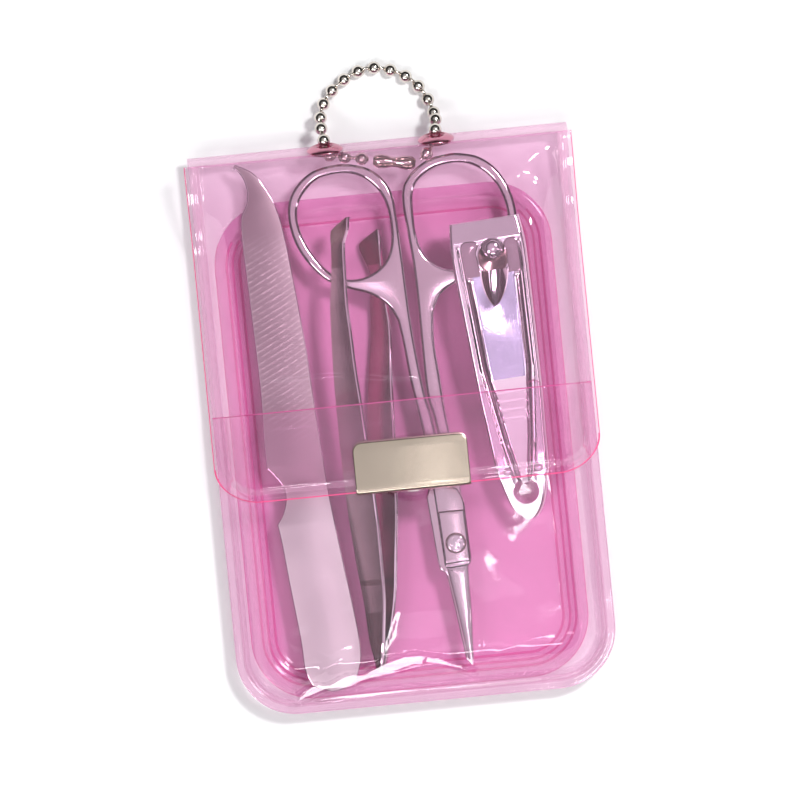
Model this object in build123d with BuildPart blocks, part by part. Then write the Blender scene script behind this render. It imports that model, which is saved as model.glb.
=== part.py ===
from build123d import *
import math
import os

os.makedirs("parts", exist_ok=True)

# Manicure set in a soft pouch, lying on its back. Millimetres.
# +X right, +Y towards the fold and the hanging chain, +Z out of the front.
# Origin: middle of the pouch's underside.

# ---- pouch ----
case_half_w = 35.0
case_top = 51.75
case_bottom = -51.75
corner_r = 11.0
top_corner_r = 1.0
film = 0.4
flange_z = 3.6  # underside of the weld flange above the table
weld_w = 2.2
weld_low = 1.6

tray_x, tray_y = -0.8, -3.5  # middle of the moulded insert
tray_hw, tray_hh = 28.8, 43.4
tray_r = 9.0
tray_sheet = 0.35
step_in, step_down = 1.2, 1.1

pocket_mouth = 3.9
pocket_top_z = 14.1
pocket_top_hw = 26.25

spine_low = (51.75, 4.2)  # y, z of the outer face
spine_high = (49.98, 10.0)

flap_hem = -12.3
flap_r = 7.0
flap_hw = 35.3
flap_under_z = 14.7
flap_film = 0.45

snap_x, snap_y = 0.6, -8.6
plate_w, plate_h = 21.0, 9.8

# ---- chain ----
ball_r = 1.2
link_r = 0.38
eyelet_x = (-9.6, 10.85)
eyelet_z = 7.4

# ---- tools ----
file_z, file_t = 4.5, 0.9
sc_z, sc_t = 4.65, 1.8  # scissors' rings and shanks
sc_mid = 5.5
pivot = (7.27, -23.26)
tw_t = 0.8
tw_roll = math.radians(45)
leaf_t = 1.0


def outline(half_w, low, high, r_low, r_high):
    """Closed outline with two corner radii, anticlockwise from the lower left."""
    with BuildLine(mode=Mode.PRIVATE) as line:
        Line((-half_w + r_low, low), (half_w - r_low, low))
        RadiusArc((half_w - r_low, low), (half_w, low + r_low), -r_low)
        Line((half_w, low + r_low), (half_w, high - r_high))
        RadiusArc((half_w, high - r_high), (half_w - r_high, high), -r_high)
        Line((half_w - r_high, high), (-half_w + r_high, high))
        RadiusArc((-half_w + r_high, high), (-half_w, high - r_high), -r_high)
        Line((-half_w, high - r_high), (-half_w, low + r_low))
        RadiusArc((-half_w, low + r_low), (-half_w + r_low, low), -r_low)
    return line.line


# ================= pouch =================

# Back sheet: flat weld flange, dished towards the table round the insert.
dish_low_hw, dish_low_hh = tray_hw - 1.6, tray_hh - 1.6
dish_high_hw, dish_high_hh = tray_hw + 2.4, tray_hh + 2.4
with BuildPart() as back_panel:
    with BuildSketch(Plane.XY.offset(flange_z)):
        make_face(outline(case_half_w, case_bottom, case_top, corner_r, top_corner_r).edges())
    extrude(amount=film)
    with BuildSketch(Plane.XY):
        with Locations((tray_x, tray_y)):
            RectangleRounded(2 * dish_low_hw, 2 * dish_low_hh, tray_r - 1.6)
    with BuildSketch(Plane.XY.offset(flange_z + film)):
        with Locations((tray_x, tray_y)):
            RectangleRounded(2 * dish_high_hw, 2 * dish_high_hh, tray_r + 2.4)
    loft()
    with BuildSketch(Plane.XY.offset(0.35)):
        with Locations((tray_x, tray_y)):
            RectangleRounded(2 * dish_low_hw - 0.7, 2 * dish_low_hh - 0.7, tray_r - 1.95)
    with BuildSketch(Plane.XY.offset(flange_z + film + 0.01)):
        with Locations((tray_x, tray_y)):
            RectangleRounded(2 * dish_high_hw - 0.7, 2 * dish_high_hh - 0.7, tray_r + 2.05)
    loft(mode=Mode.SUBTRACT)
back_panel.part.label = "back_panel"

# Moulded insert: a rim on the flange and three steps down to the floor.
rim_z = flange_z + film
with BuildPart() as inner_tray:
    with BuildSketch(Plane.XY.offset(rim_z)):
        with Locations((tray_x, tray_y)):
            RectangleRounded(2 * tray_hw + 4.6, 2 * tray_hh + 4.6, tray_r + 2.3)
    extrude(amount=tray_sheet)
    for n in range(3):
        cut = 2 * n * step_in
        with BuildSketch(Plane.XY.offset(rim_z)):
            with Locations((tray_x, tray_y)):
                RectangleRounded(
                    2 * tray_hw + 0.7 - cut, 2 * tray_hh + 0.7 - cut, tray_r - n * step_in + 0.35
                )
        extrude(amount=-(n * step_down + 1.4))
    with BuildSketch(Plane.XY.offset(rim_z)):
        with Locations((tray_x, tray_y)):
            RectangleRounded(2 * tray_hw - 4.1, 2 * tray_hh - 4.1, tray_r - 2.05)
    extrude(amount=-(rim_z - 0.36))
    for n in range(3):
        cut = 2 * n * step_in
        with BuildSketch(Plane.XY.offset(rim_z + tray_sheet)):
            with Locations((tray_x, tray_y)):
                RectangleRounded(2 * tray_hw - cut, 2 * tray_hh - cut, tray_r - n * step_in)
        extrude(amount=-(n * step_down + 1.4), mode=Mode.SUBTRACT)
    with BuildSketch(Plane.XY.offset(rim_z + tray_sheet)):
        with Locations((tray_x, tray_y)):
            RectangleRounded(2 * tray_hw - 4.8, 2 * tray_hh - 4.8, tray_r - 2.4)
    extrude(amount=-(rim_z - 0.36), mode=Mode.SUBTRACT)
inner_tray.part.label = "inner_tray"

# Spine: the narrow sloping wall between the back and the flap, with two eyelet holes.
spine_len = math.hypot(spine_low[0] - spine_high[0], spine_high[1] - spine_low[1])
spine_n = (0, (spine_high[1] - spine_low[1]) / spine_len, (spine_low[0] - spine_high[0]) / spine_len)
spine_mid = ((spine_low[0] + spine_high[0]) / 2, (spine_low[1] + spine_high[1]) / 2)
spine_plane = Plane(origin=(0, spine_mid[0], spine_mid[1]), x_dir=(1, 0, 0), z_dir=spine_n)
eyelet_y = spine_low[0] - (eyelet_z - spine_low[1]) * (spine_low[0] - spine_high[0]) / (
    spine_high[1] - spine_low[1]
)
eyelet_planes = [
    Plane(origin=(x, eyelet_y, eyelet_z), x_dir=(1, 0, 0), z_dir=spine_n) for x in eyelet_x
]
eyelet_off = (eyelet_z - spine_mid[1]) / spine_n[1]
with BuildPart() as spine_fold:
    with BuildSketch(spine_plane):
        Rectangle(2 * case_half_w, spine_len)
        with Locations(*[(x, -eyelet_off) for x in eyelet_x]):
            Circle(1.95, mode=Mode.SUBTRACT)
    extrude(amount=-film)
spine_fold.part.label = "spine_fold"

for side, plane in zip(("left", "right"), eyelet_planes):
    with BuildPart() as eyelet:
        with BuildSketch(plane):
            Circle(2.85)
            Circle(1.45, mode=Mode.SUBTRACT)
        extrude(amount=0.55)
        fillet(eyelet.edges().filter_by(GeomType.CIRCLE).sort_by(SortBy.RADIUS)[-2:].sort_by(Axis.Y)[-1:], 0.3)
        with BuildSketch(plane.offset(0.55)):
            Circle(1.9)
            Circle(1.45, mode=Mode.SUBTRACT)
        extrude(amount=-1.65)
    eyelet.part.label = "eyelet_" + side
    export_step(eyelet.part, f"parts/eyelet_{side}.step")

with BuildPart() as eyelet_washers:
    for plane in eyelet_planes:
        with BuildSketch(plane.offset(-film)):
            Circle(2.4)
            Circle(1.92, mode=Mode.SUBTRACT)
        extrude(amount=-0.35)
eyelet_washers.part.label = "eyelet_washers"

# Front pocket: welded on three sides, bulging over the tools, open towards the fold,
# with a round dimple that the press stud stands in.
base_hw = case_half_w - weld_w
with BuildPart() as front_pocket:
    with BuildSketch(Plane.XY.offset(rim_z)):
        make_face(outline(base_hw, case_bottom + weld_low, 60, corner_r - weld_w, 2).edges())
    with BuildSketch(Plane.XY.offset(pocket_top_z)):
        make_face(outline(pocket_top_hw, -44.2, 60, 6.0, 2).edges())
    loft()
    with BuildSketch(Plane.XY.offset(rim_z)):
        make_face(outline(case_half_w, case_bottom, 60, corner_r, 2).edges())
    extrude(amount=film)
    with BuildSketch(Plane.XY.offset(rim_z)):
        make_face(outline(base_hw - 0.5, case_bottom + weld_low + 0.4, 70, corner_r - weld_w - 0.5, 2).edges())
    with BuildSketch(Plane.XY.offset(pocket_top_z - film)):
        make_face(outline(pocket_top_hw - 0.3, -43.9, 70, 5.7, 2).edges())
    loft(mode=Mode.SUBTRACT)
    with BuildSketch(Plane.XY.offset(pocket_top_z)):
        with Locations((snap_x, snap_y)):
            Circle(5.9)
    extrude(amount=-2.5)
    with BuildSketch(Plane.XY.offset(pocket_top_z)):
        with Locations((snap_x, snap_y)):
            Circle(5.5)
    extrude(amount=-2.1, mode=Mode.SUBTRACT)
    with BuildSketch(Plane.XY.offset(pocket_top_z)):
        with Locations((snap_x, snap_y)):
            Circle(1.25)
    extrude(amount=-3, mode=Mode.SUBTRACT)
    with BuildSketch(Plane.XY):
        with Locations((0, pocket_mouth + 50)):
            Rectangle(90, 100)
    extrude(amount=20, mode=Mode.SUBTRACT)
front_pocket.part.label = "front_pocket"

# Flap: level over the tools, sides falling to the flange, rounded hem corners.
fl_low = 4.75
fl_edge = flap_hw
with BuildPart() as flap:
    with BuildSketch(Plane.XZ.offset(-36.0)):
        with BuildLine():
            Polyline(
                (-fl_edge, fl_low), (-26.6, flap_under_z), (26.6, flap_under_z), (fl_edge, fl_low),
                (fl_edge + 0.35, fl_low + 0.3), (26.85, flap_under_z + flap_film),
                (-26.85, flap_under_z + flap_film), (-fl_edge - 0.35, fl_low + 0.3), (-fl_edge, fl_low),
            )
        make_face()
    extrude(amount=36.0 - flap_hem)
    for side in (-1, 0, 1):
        near = [(26.6, flap_under_z), (fl_edge, fl_low), (fl_edge + 0.35, fl_low + 0.3), (26.85, flap_under_z + flap_film)]
        far = [(26.6, 10.08), (35.0, 10.08), (35.0, 10.5), (26.85, 10.5)]
        if side == 0:
            near = [near[0], (-near[0][0], near[0][1]), (-near[3][0], near[3][1]), near[3]]
            far = [far[0], (-far[0][0], far[0][1]), (-far[3][0], far[3][1]), far[3]]
        if side == -1:
            near = [(-x, z) for x, z in near]
            far = [(-x, z) for x, z in far]
        with BuildSketch(Plane.XZ.offset(-36.0)):
            with BuildLine():
                Polyline(*near, near[0])
            make_face()
        with BuildSketch(Plane.XZ.offset(-spine_high[0])):
            with BuildLine():
                Polyline(*far, far[0])
            make_face()
        loft(ruled=True)
    with BuildSketch(Plane.XY):
        make_face(outline(fl_edge + 0.35, flap_hem, 60, flap_r, 2).edges())
    extrude(amount=30, mode=Mode.INTERSECT)
flap.part.label = "flap"

# Clasp plate: sheet metal folded over the hem, one leaf on each side of the flap.
plate_low = flap_hem - 0.45
plate_x = snap_x
with BuildPart() as clasp_plate:
    with BuildSketch(Plane.XY.offset(flap_under_z - 0.5)):
        with Locations((plate_x, plate_low + plate_h / 2)):
            Rectangle(plate_w, plate_h)
    extrude(amount=flap_film + 1.0)
    fillet(clasp_plate.edges().filter_by(Axis.Z).sort_by(Axis.Y)[-2:], 1.6)
    fillet(clasp_plate.edges().filter_by(Axis.X).sort_by(Axis.Y)[:2], 0.35)
    with BuildSketch(Plane.XY.offset(flap_under_z - 0.05)):
        with Locations((plate_x, plate_low + 0.4 + 10)):
            Rectangle(plate_w + 2, 20)
    extrude(amount=flap_film + 0.1, mode=Mode.SUBTRACT)
    fillet(clasp_plate.edges().group_by(Axis.Z)[-1], 0.15)
clasp_plate.part.label = "clasp_plate"

# Press stud: socket under the plate, stud in the pocket's dimple, ring behind the film.
with BuildPart() as snap_socket:
    with BuildSketch(Plane.XY.offset(flap_under_z - 0.5)):
        with Locations((snap_x, snap_y)):
            Circle(4.4)
    extrude(amount=-1.35)
    fillet(snap_socket.edges().group_by(Axis.Z)[0], 0.4)
    with BuildSketch(Plane.XY.offset(flap_under_z - 1.85)):
        with Locations((snap_x, snap_y)):
            Circle(2.25)
    extrude(amount=1.15, mode=Mode.SUBTRACT)
snap_socket.part.label = "snap_socket"

stud_z = pocket_top_z - 2.1
with BuildPart() as snap_stud:
    with BuildSketch(Plane.XY.offset(stud_z)):
        with Locations((snap_x, snap_y)):
            Circle(4.2)
    extrude(amount=0.4)
    with BuildSketch(Plane.XY.offset(stud_z)):
        with Locations((snap_x, snap_y)):
            Circle(2.0)
    extrude(amount=1.7)
    fillet(snap_stud.edges().group_by(Axis.Z)[-1], 0.6)
    with BuildSketch(Plane.XY.offset(stud_z)):
        with Locations((snap_x, snap_y)):
            Circle(1.2)
    extrude(amount=-0.85)
snap_stud.part.label = "snap_stud"

with BuildPart() as snap_back_ring:
    with BuildSketch(Plane.XY.offset(stud_z - film)):
        with Locations((snap_x, snap_y)):
            Circle(3.6)
            Circle(1.25, mode=Mode.SUBTRACT)
    extrude(amount=-0.45)
snap_back_ring.part.label = "snap_back_ring"

for piece in (
    back_panel, inner_tray, spine_fold, eyelet_washers, front_pocket, flap,
    clasp_plate, snap_socket, snap_stud, snap_back_ring,
):
    export_step(piece.part, f"parts/{piece.part.label}.step")
    print(piece.part.label, round(piece.part.volume, 1))

# ================= ball chain =================

loop_centres = [
    (-9.6, 52.88, 8.04), (-10.0, 54.93, 5.82), (-9.92, 56.88, 3.48), (-9.18, 59.54, 2.18),
    (-7.3, 61.86, 1.55), (-4.85, 63.66, 1.32), (-2.1, 64.97, 1.24), (0.93, 65.36, 1.22),
    (3.86, 64.52, 1.22), (6.58, 63.13, 1.22), (8.76, 61.01, 1.24), (10.24, 58.35, 1.45),
    (10.99, 55.66, 2.7), (11.18, 54.61, 5.55), (10.85, 52.88, 8.04),
]
mouth_out = 0.95  # the loop swings about the eyelets' outer mouths
mouths = [
    (p.origin.X, p.origin.Y + spine_n[1] * mouth_out, p.origin.Z + spine_n[2] * mouth_out)
    for p in eyelet_planes
]
inside = [
    (p.origin.X, p.origin.Y - spine_n[1] * 0.9, p.origin.Z - spine_n[2] * 0.9)
    for p in eyelet_planes
]
left_run = [inside[0], (-6.9, 48.7, 7.75), (-3.9, 48.3, 7.8)]
sleeve_ends = [(-1.1, 48.0, 8.1), (5.5, 47.6, 8.1)]
right_run = [(8.3, 48.3, 7.9), inside[1]]
gap = 0.03


def rod(a, b, cut_a, cut_b):
    """Plane at the start of a link from a to b, and its length, shortened at both ends."""
    d = Vector(*b) - Vector(*a)
    start = Vector(*a) + d.normalized() * cut_a
    return Plane(origin=start, z_dir=d), d.length - cut_a - cut_b


def balls(centres):
    with BuildPart() as group:
        for c in centres:
            with Locations(c):
                Sphere(ball_r)
    return group


def links(spans):
    with BuildPart() as group:
        for a, b, cut_a, cut_b in spans:
            plane, length = rod(a, b, cut_a, cut_b)
            with BuildSketch(plane):
                Circle(link_r)
            extrude(amount=length)
    return group


clear = ball_r + gap
loop_spans = [(mouths[0], loop_centres[0], 0, clear), (mouths[1], loop_centres[-1], 0, clear)]
loop_spans += [(a, b, clear, clear) for a, b in zip(loop_centres, loop_centres[1:])]
inner_spans = [(inside[0], mouths[0], clear, gap), (inside[1], mouths[1], clear, gap)]
inner_spans += [(a, b, clear, clear) for a, b in zip(left_run, left_run[1:])]
inner_spans += [(a, b, clear, clear) for a, b in zip(right_run, right_run[1:])]
inner_spans += [
    (left_run[-1], sleeve_ends[0], clear, 1.33), (right_run[0], sleeve_ends[1], clear, 1.33)
]
chain_loop_balls = balls(loop_centres)
chain_loop_balls.part.label = "chain_loop_balls"
chain_loop_links = links(loop_spans)
chain_loop_links.part.label = "chain_loop_links"
chain_inner_balls = balls(left_run + right_run + sleeve_ends)
chain_inner_balls.part.label = "chain_inner_balls"
chain_inner_links = links(inner_spans)
chain_inner_links.part.label = "chain_inner_links"

# Coupling: a rolled sleeve round the two end balls, slotted along its upper side.
sleeve_plane, sleeve_len = rod(sleeve_ends[0], sleeve_ends[1], -1.1, -1.1)
sleeve_plane = Plane(origin=sleeve_plane.origin, x_dir=(0, 0, 1), z_dir=sleeve_plane.z_dir)
with BuildPart() as chain_connector:
    with BuildSketch(sleeve_plane):
        Circle(1.52)
        Circle(1.24, mode=Mode.SUBTRACT)
        with Locations((1.5, 0)):
            Rectangle(1.6, 0.7, mode=Mode.SUBTRACT)
    extrude(amount=sleeve_len)
chain_connector.part.label = "chain_connector"
print("ball chain: ball", 2 * ball_r, "pitch 3.05, outer run",
      round(sum((Vector(*b) - Vector(*a)).length for a, b in zip([mouths[0]] + loop_centres, loop_centres + [mouths[1]])), 1))

# ================= nail file =================

file_right = [
    (-26.35, 49.79), (-23.16, 47.94), (-21.05, 44.67), (-19.55, 41.17), (-18.36, 34.62),
    (-16.67, 16.51), (-16.17, 7.15), (-15.49, -4.49), (-14.97, -12.16), (-13.63, -24.35),
    (-12.52, -33.47), (-11.95, -40.0), (-12.15, -43.4),
]
file_left = [
    (-21.4, -46.9), (-22.56, -43.75), (-22.86, -38.1), (-23.85, -28.14), (-24.54, -20.51),
    (-25.03, -16.81),
]
file_notch = [(-25.03, -16.81), (-23.68, -14.7), (-23.01, -12.22), (-23.24, -10.22), (-24.45, -8.13), (-25.97, -6.29)]
file_upper = [(-25.97, -6.29), (-26.0, -0.92), (-25.74, 7.52), (-25.97, 19.27), (-26.38, 33.88), (-26.36, 38.78)]
file_neck = [(-26.36, 38.78), (-26.05, 40.28), (-24.85, 42.59), (-24.65, 45.32), (-25.34, 47.55), (-26.7, 49.21)]
with BuildPart() as nail_file:
    with BuildSketch(Plane.XY.offset(file_z)):
        with BuildLine():
            Spline(*file_right)
            Spline(file_right[-1], (-13.6, -46.6), (-17.3, -48.25), file_left[0])
            Spline(*file_left)
            Spline(*file_notch)
            Spline(*file_upper)
            Spline(*file_neck)
            Line(file_neck[-1], file_right[0])
        make_face()
    extrude(amount=file_t)
nail_file.part.label = "nail_file"

# ================= scissors =================
# Shank and ring are full thickness; below full_y the halves are half thickness and cross.
full_y = -8.0
ring_l_out = [
    (0.63, 18.4), (-1.0, 21.5), (-4.05, 23.75), (-8.3, 25.3), (-11.98, 27.3), (-15.3, 31.4),
    (-17.1, 35.8), (-17.45, 40.3), (-16.1, 44.0), (-12.39, 47.1), (-7.09, 48.0), (-2.4, 46.9),
    (0.48, 44.5), (1.98, 41.3), (2.39, 36.24),
]
ring_l_in = [
    (-6.97, 46.3), (-11.2, 45.75), (-14.3, 43.2), (-15.75, 40.1), (-15.5, 36.4), (-14.0, 32.6),
    (-11.4, 28.9), (-8.8, 27.1), (-5.62, 26.7), (-2.44, 27.8), (-0.2, 29.9), (0.95, 33.3),
    (0.95, 37.88), (0.0, 41.5), (-1.99, 44.2), (-4.29, 45.7),
]
ring_r_out = [
    (4.03, 34.24), (3.59, 39.17), (3.95, 42.6), (5.76, 45.2), (9.02, 47.3), (12.44, 47.95),
    (14.59, 47.95), (18.15, 47.0), (20.99, 44.8), (23.08, 41.4), (24.18, 37.1), (23.9, 33.3),
    (22.3, 29.8), (19.2, 26.8), (15.4, 25.0), (11.6, 24.1), (8.9, 22.4), (7.35, 19.6),
]
ring_r_in = [
    (14.1, 46.2), (10.39, 45.75), (7.3, 44.0), (5.75, 41.6), (5.41, 37.47), (5.72, 32.85),
    (7.18, 29.3), (10.5, 27.0), (14.4, 26.9), (18.0, 28.4), (20.8, 30.9), (22.3, 33.8),
    (22.5, 37.2), (21.4, 40.9), (19.6, 43.6), (17.0, 45.5),
]


def scissors_face(outer_parts, hole):
    with BuildSketch(mode=Mode.PRIVATE) as face:
        with BuildLine():
            for kind, points in outer_parts:
                (Spline if kind == "s" else Polyline)(*points)
        make_face()
        with BuildLine():
            Spline(*hole, periodic=True)
        make_face(mode=Mode.SUBTRACT)
    return face.sketch


left_full = scissors_face(
    [
        ("s", ring_l_out),
        ("s", [(2.39, 36.24), (2.64, 29.48), (3.15, 16.41), (4.25, 5.0), (5.2, 0.0), (6.2, full_y)]),
        ("l", [(6.2, full_y), (3.95, full_y)]),
        ("s", [(3.95, full_y), (2.9, 0.0), (1.83, 7.43), (1.2, 14.0), (0.63, 18.4)]),
    ],
    ring_l_in,
)
right_full = scissors_face(
    [
        ("s", ring_r_out),
        ("s", [(7.35, 19.6), (6.95, 14.0), (7.34, 7.5), (7.83, 0.11), (8.85, full_y)]),
        ("l", [(8.85, full_y), (6.55, full_y)]),
        ("s", [(6.55, full_y), (5.5, 0.0), (4.6, 6.0), (4.55, 25.34), (4.03, 34.24)]),
    ],
    ring_r_in,
)
edge = 0.3
with BuildPart() as scissors_left_half:
    with BuildSketch(Plane.XY.offset(sc_z)):
        add(left_full)
    extrude(amount=sc_t)
    with BuildSketch(Plane.XY.offset(sc_mid + 0.05)):
        with BuildLine():
            Polyline((3.95, full_y + 1.2), (3.95, full_y))
            Spline((3.95, full_y), (4.0, -11.5), (4.17, -14.66))
            Polyline((4.17, -14.66), (4.85, -27.2))
            Spline((4.85, -27.2), (5.05, -27.65), (5.94, -27.83))
            Polyline((5.94, -27.83), (8.54, -27.63))
            Spline((8.54, -27.63), (9.5, -27.35), (9.85, -26.61))
            Polyline((9.85, -26.61), (9.56, -16.24))
            Spline((9.56, -16.24), (9.1, -14.39), (7.63, -12.0), (6.4, -9.6), (6.2, full_y))
            Polyline((6.2, full_y), (6.1, full_y + 1.2), (3.95, full_y + 1.2))
        make_face()
    extrude(amount=0.9)
    with BuildSketch(Plane.XY.offset(sc_mid + 0.95)):
        with BuildLine():
            Polyline((4.3, -17.2), (4.85, -27.2), (9.75, -27.0), (9.5, -17.2), (4.3, -17.2))
        make_face()
        fillet(vertices(), 0.6)
    extrude(amount=0.35)
    with BuildSketch(Plane.XY.offset(sc_mid + 0.05)):
        with BuildLine():
            Polyline(
                (5.2, -27.4), (6.4, -36.0), (7.5, -44.6), (8.23, -46.0), (8.5, -44.57),
                (9.05, -35.78), (9.15, -27.4), (5.2, -27.4),
            )
        make_face()
    extrude(amount=0.6)
    with BuildSketch(Plane.XY.offset(sc_z)):
        with Locations(pivot):
            Circle(1.05)
    extrude(amount=4, mode=Mode.SUBTRACT)
scissors_left_half.part.label = "scissors_left_half"

with BuildPart() as scissors_right_half:
    with BuildSketch(Plane.XY.offset(sc_z)):
        add(right_full)
    extrude(amount=sc_t)
    with BuildSketch(Plane.XY.offset(sc_z)):
        with BuildLine():
            Polyline(
                (6.55, full_y + 1.0), (6.55, full_y - 0.4), (3.2, -13.0), (2.76, -14.52), (3.68, -26.27), (4.0, -27.9),
                (5.0, -28.6), (6.0, -35.5), (7.1, -44.6), (8.15, -46.0), (8.4, -44.6), (8.9, -35.8),
                (8.9, -27.0), (9.2, -16.0), (8.85, full_y - 0.4), (8.75, full_y + 1.0), (6.55, full_y + 1.0),
            )
        make_face()
    extrude(amount=sc_mid - sc_z)
    with BuildSketch(Plane.XY.offset(sc_z)):
        with Locations(pivot):
            Circle(1.05)
    extrude(amount=4, mode=Mode.SUBTRACT)
scissors_right_half.part.label = "scissors_right_half"

# Pivot screw: slightly domed head with a cross recess.
screw_top = sc_mid + 1.3
with BuildPart() as scissors_screw:
    with BuildSketch(Plane.XY.offset(sc_z + 0.02)):
        with Locations(pivot):
            Circle(1.0)
    extrude(amount=screw_top - sc_z - 0.02)
    with BuildSketch(Plane.XY.offset(screw_top)):
        with Locations(pivot):
            Circle(1.6)
    extrude(amount=0.4)
    fillet(scissors_screw.edges().group_by(Axis.Z)[-1], 0.2)
    with BuildSketch(Plane.XY.offset(screw_top + 0.4)):
        with Locations(pivot):
            Rectangle(1.6, 0.3, rotation=20)
            Rectangle(0.3, 1.6, rotation=20)
    extrude(amount=-0.25, mode=Mode.SUBTRACT)
scissors_screw.part.label = "scissors_screw"

# ================= tweezers =================
# Two bowed strips welded at the lower end, rolled about their length. Each station:
# y, x of the middle, distance between the arms, z of the middle, strip width, sideways shift.
tw_stations = [
    (-45.3, -8.6, 0.92, 5.2, 1.0), (-43.2, -8.45, 1.05, 5.25, 2.2), (-40.0, -8.2, 1.7, 5.4, 3.6),
    (-32.0, -7.6, 2.8, 5.6, 5.4), (-25.0, -7.5, 3.8, 5.8, 6.6), (-17.0, -7.3, 5.1, 6.1, 7.3),
    (-5.0, -7.05, 6.9, 6.45, 7.1), (3.0, -6.85, 8.0, 6.6, 6.5), (10.0, -6.6, 9.2, 6.65, 5.7),
    (17.0, -6.2, 10.2, 6.55, 5.0), (22.0, -6.0, 10.4, 6.45, 4.6), (26.0, -5.85, 10.3, 6.3, 4.3),
    (30.0, -5.8, 9.6, 6.3, 4.1),
]
u = (-math.cos(tw_roll), 0, math.sin(tw_roll))  # from the right arm to the left arm
v = (math.sin(tw_roll), 0, math.cos(tw_roll))  # across a strip


def arm(side, tip):
    """tip: y where the slanted end starts, y where it ends, middle's x and arms' distance there."""
    with BuildPart() as strip:
        rows = [(y, x, s, z, w, 0.0) for y, x, s, z, w in tw_stations]
        y0, y1, x_tip, s_tip, z_tip = tip
        rows.append((y0, x_tip, s_tip + 0.3, z_tip, 4.0, 0.0))
        rows.append((y1, x_tip, s_tip, z_tip, 0.7, 1.65))
        for low, high in zip(rows, rows[1:]):
            for y, x, s, z, w, shift in (low, high):
                c = (
                    x + side * u[0] * s / 2 + v[0] * shift, y, z + side * u[2] * s / 2 + v[2] * shift,
                )
                with BuildSketch(Plane(origin=c, x_dir=v, z_dir=(0, 1, 0))):
                    Rectangle(w, tw_t)
            loft()
    return strip


tweezers_left_arm = arm(1, (34.3, 38.0, -5.75, 7.3, 6.3))
tweezers_left_arm.part.label = "tweezers_left_arm"
tweezers_right_arm = arm(-1, (32.9, 35.6, -5.75, 7.3, 6.3))
tweezers_right_arm.part.label = "tweezers_right_arm"

# ================= nail clipper =================
# Own frame: origin at the tail hole under the lower leaf, y towards the jaws, z up.
clip_yaw, clip_pitch = math.radians(3.3), math.radians(3.0)
clip_x = (math.cos(clip_yaw), math.sin(clip_yaw), 0)
clip_y = (
    -math.sin(clip_yaw) * math.cos(clip_pitch), math.cos(clip_yaw) * math.cos(clip_pitch), math.sin(clip_pitch),
)
clip_z = (
    clip_x[1] * clip_y[2], -clip_x[0] * clip_y[2], clip_x[0] * clip_y[1] - clip_x[1] * clip_y[0],
)
clip = Plane(origin=(21.09, -14.94, 4.66), x_dir=clip_x, z_dir=clip_z)
clip_side = Plane(origin=clip.origin, x_dir=clip_y, z_dir=clip_x)  # local x = y, local y = z
leaf_right = [(1.3, -5.0), (2.3, -3.8), (3.3, -1.8), (4.3, 2.0), (4.95, 5.5), (5.75, 21.6), (6.6, 42.0), (6.5, 47.5), (6.15, 50.4)]


def leaf_outline():
    with BuildSketch(mode=Mode.PRIVATE) as s:
        with BuildLine():
            Spline(*leaf_right)
            Line((6.15, 50.4), (-6.15, 50.4))
            Spline(*[(-x, y) for x, y in reversed(leaf_right)])
            RadiusArc((-1.3, -5.0), (1.3, -5.0), -1.5)
        make_face()
    return s.sketch_local


with BuildPart() as clipper_lower_leaf:
    with BuildSketch(clip):
        add(leaf_outline())
    extrude(amount=leaf_t)
    with BuildSketch(clip.offset(leaf_t)):
        with Locations((0, 49.9)):
            Rectangle(12.2, 1.0)
    extrude(amount=0.7)
    with BuildSketch(clip):
        Circle(2.4)
        with Locations((0.3, 45.0)):
            Circle(1.3)
        with Locations((-2.9, 4.0), (2.9, 4.0)):
            Circle(0.5)
    extrude(amount=3, mode=Mode.SUBTRACT)
    with BuildSketch(clip):
        with Locations((0.3, 45.0)):
            Circle(1.95)
    extrude(amount=0.5, mode=Mode.SUBTRACT)
clipper_lower_leaf.part.label = "clipper_lower_leaf"

with BuildPart() as clipper_upper_leaf:
    with BuildSketch(clip_side.offset(-8)):
        with BuildLine():
            Polyline(
                (-7, 1.06), (7, 1.06), (44, 3.4), (49.3, 3.5), (49.5, 2.6), (50.5, 2.6), (50.5, 3.9), (49.6, 4.45),
                (44, 4.4), (7, 2.06), (-7, 2.06), (-7, 1.06),
            )
        make_face()
    extrude(amount=16)
    with BuildSketch(clip):
        add(leaf_outline())
    extrude(amount=12, mode=Mode.INTERSECT)
    with BuildSketch(clip):
        Circle(2.4)
        with Locations((0.3, 45.0)):
            SlotOverall(4.4, 3.2, rotation=90)
        with Locations((-2.9, 4.0), (2.9, 4.0)):
            Circle(0.5)
    extrude(amount=8, mode=Mode.SUBTRACT)
clipper_upper_leaf.part.label = "clipper_upper_leaf"

with BuildPart() as clipper_rivets:
    for x in (-2.9, 2.9):
        with BuildSketch(clip):
            with Locations((x, 4.0)):
                Circle(0.48)
        extrude(amount=2.06)
        with BuildSketch(clip.offset(2.07)):
            with Locations((x, 4.0)):
                Circle(0.8)
        extrude(amount=0.12)
        with BuildSketch(clip.offset(2.0)):
            with Locations((x, 4.0)):
                Circle(0.48)
        extrude(amount=0.15)
clipper_rivets.part.label = "clipper_rivets"

# Pin: foot sunk in the lower leaf, shank through both leaves, domed head over the lever's fork.
with BuildPart() as clipper_pin:
    with BuildSketch(clip.offset(0.02)):
        with Locations((0.3, 45.0)):
            Circle(1.85)
    extrude(amount=0.46)
    with BuildSketch(clip.offset(0.02)):
        with Locations((0.3, 45.0)):
            Circle(1.2)
    extrude(amount=5.4)
    with BuildSketch(clip.offset(5.1)):
        with Locations((0.3, 45.0)):
            Circle(1.9)
    extrude(amount=1.3)
    fillet(clipper_pin.edges().group_by(Axis(clip.origin, clip_z))[-1], 1.15)
clipper_pin.part.label = "clipper_pin"

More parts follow.
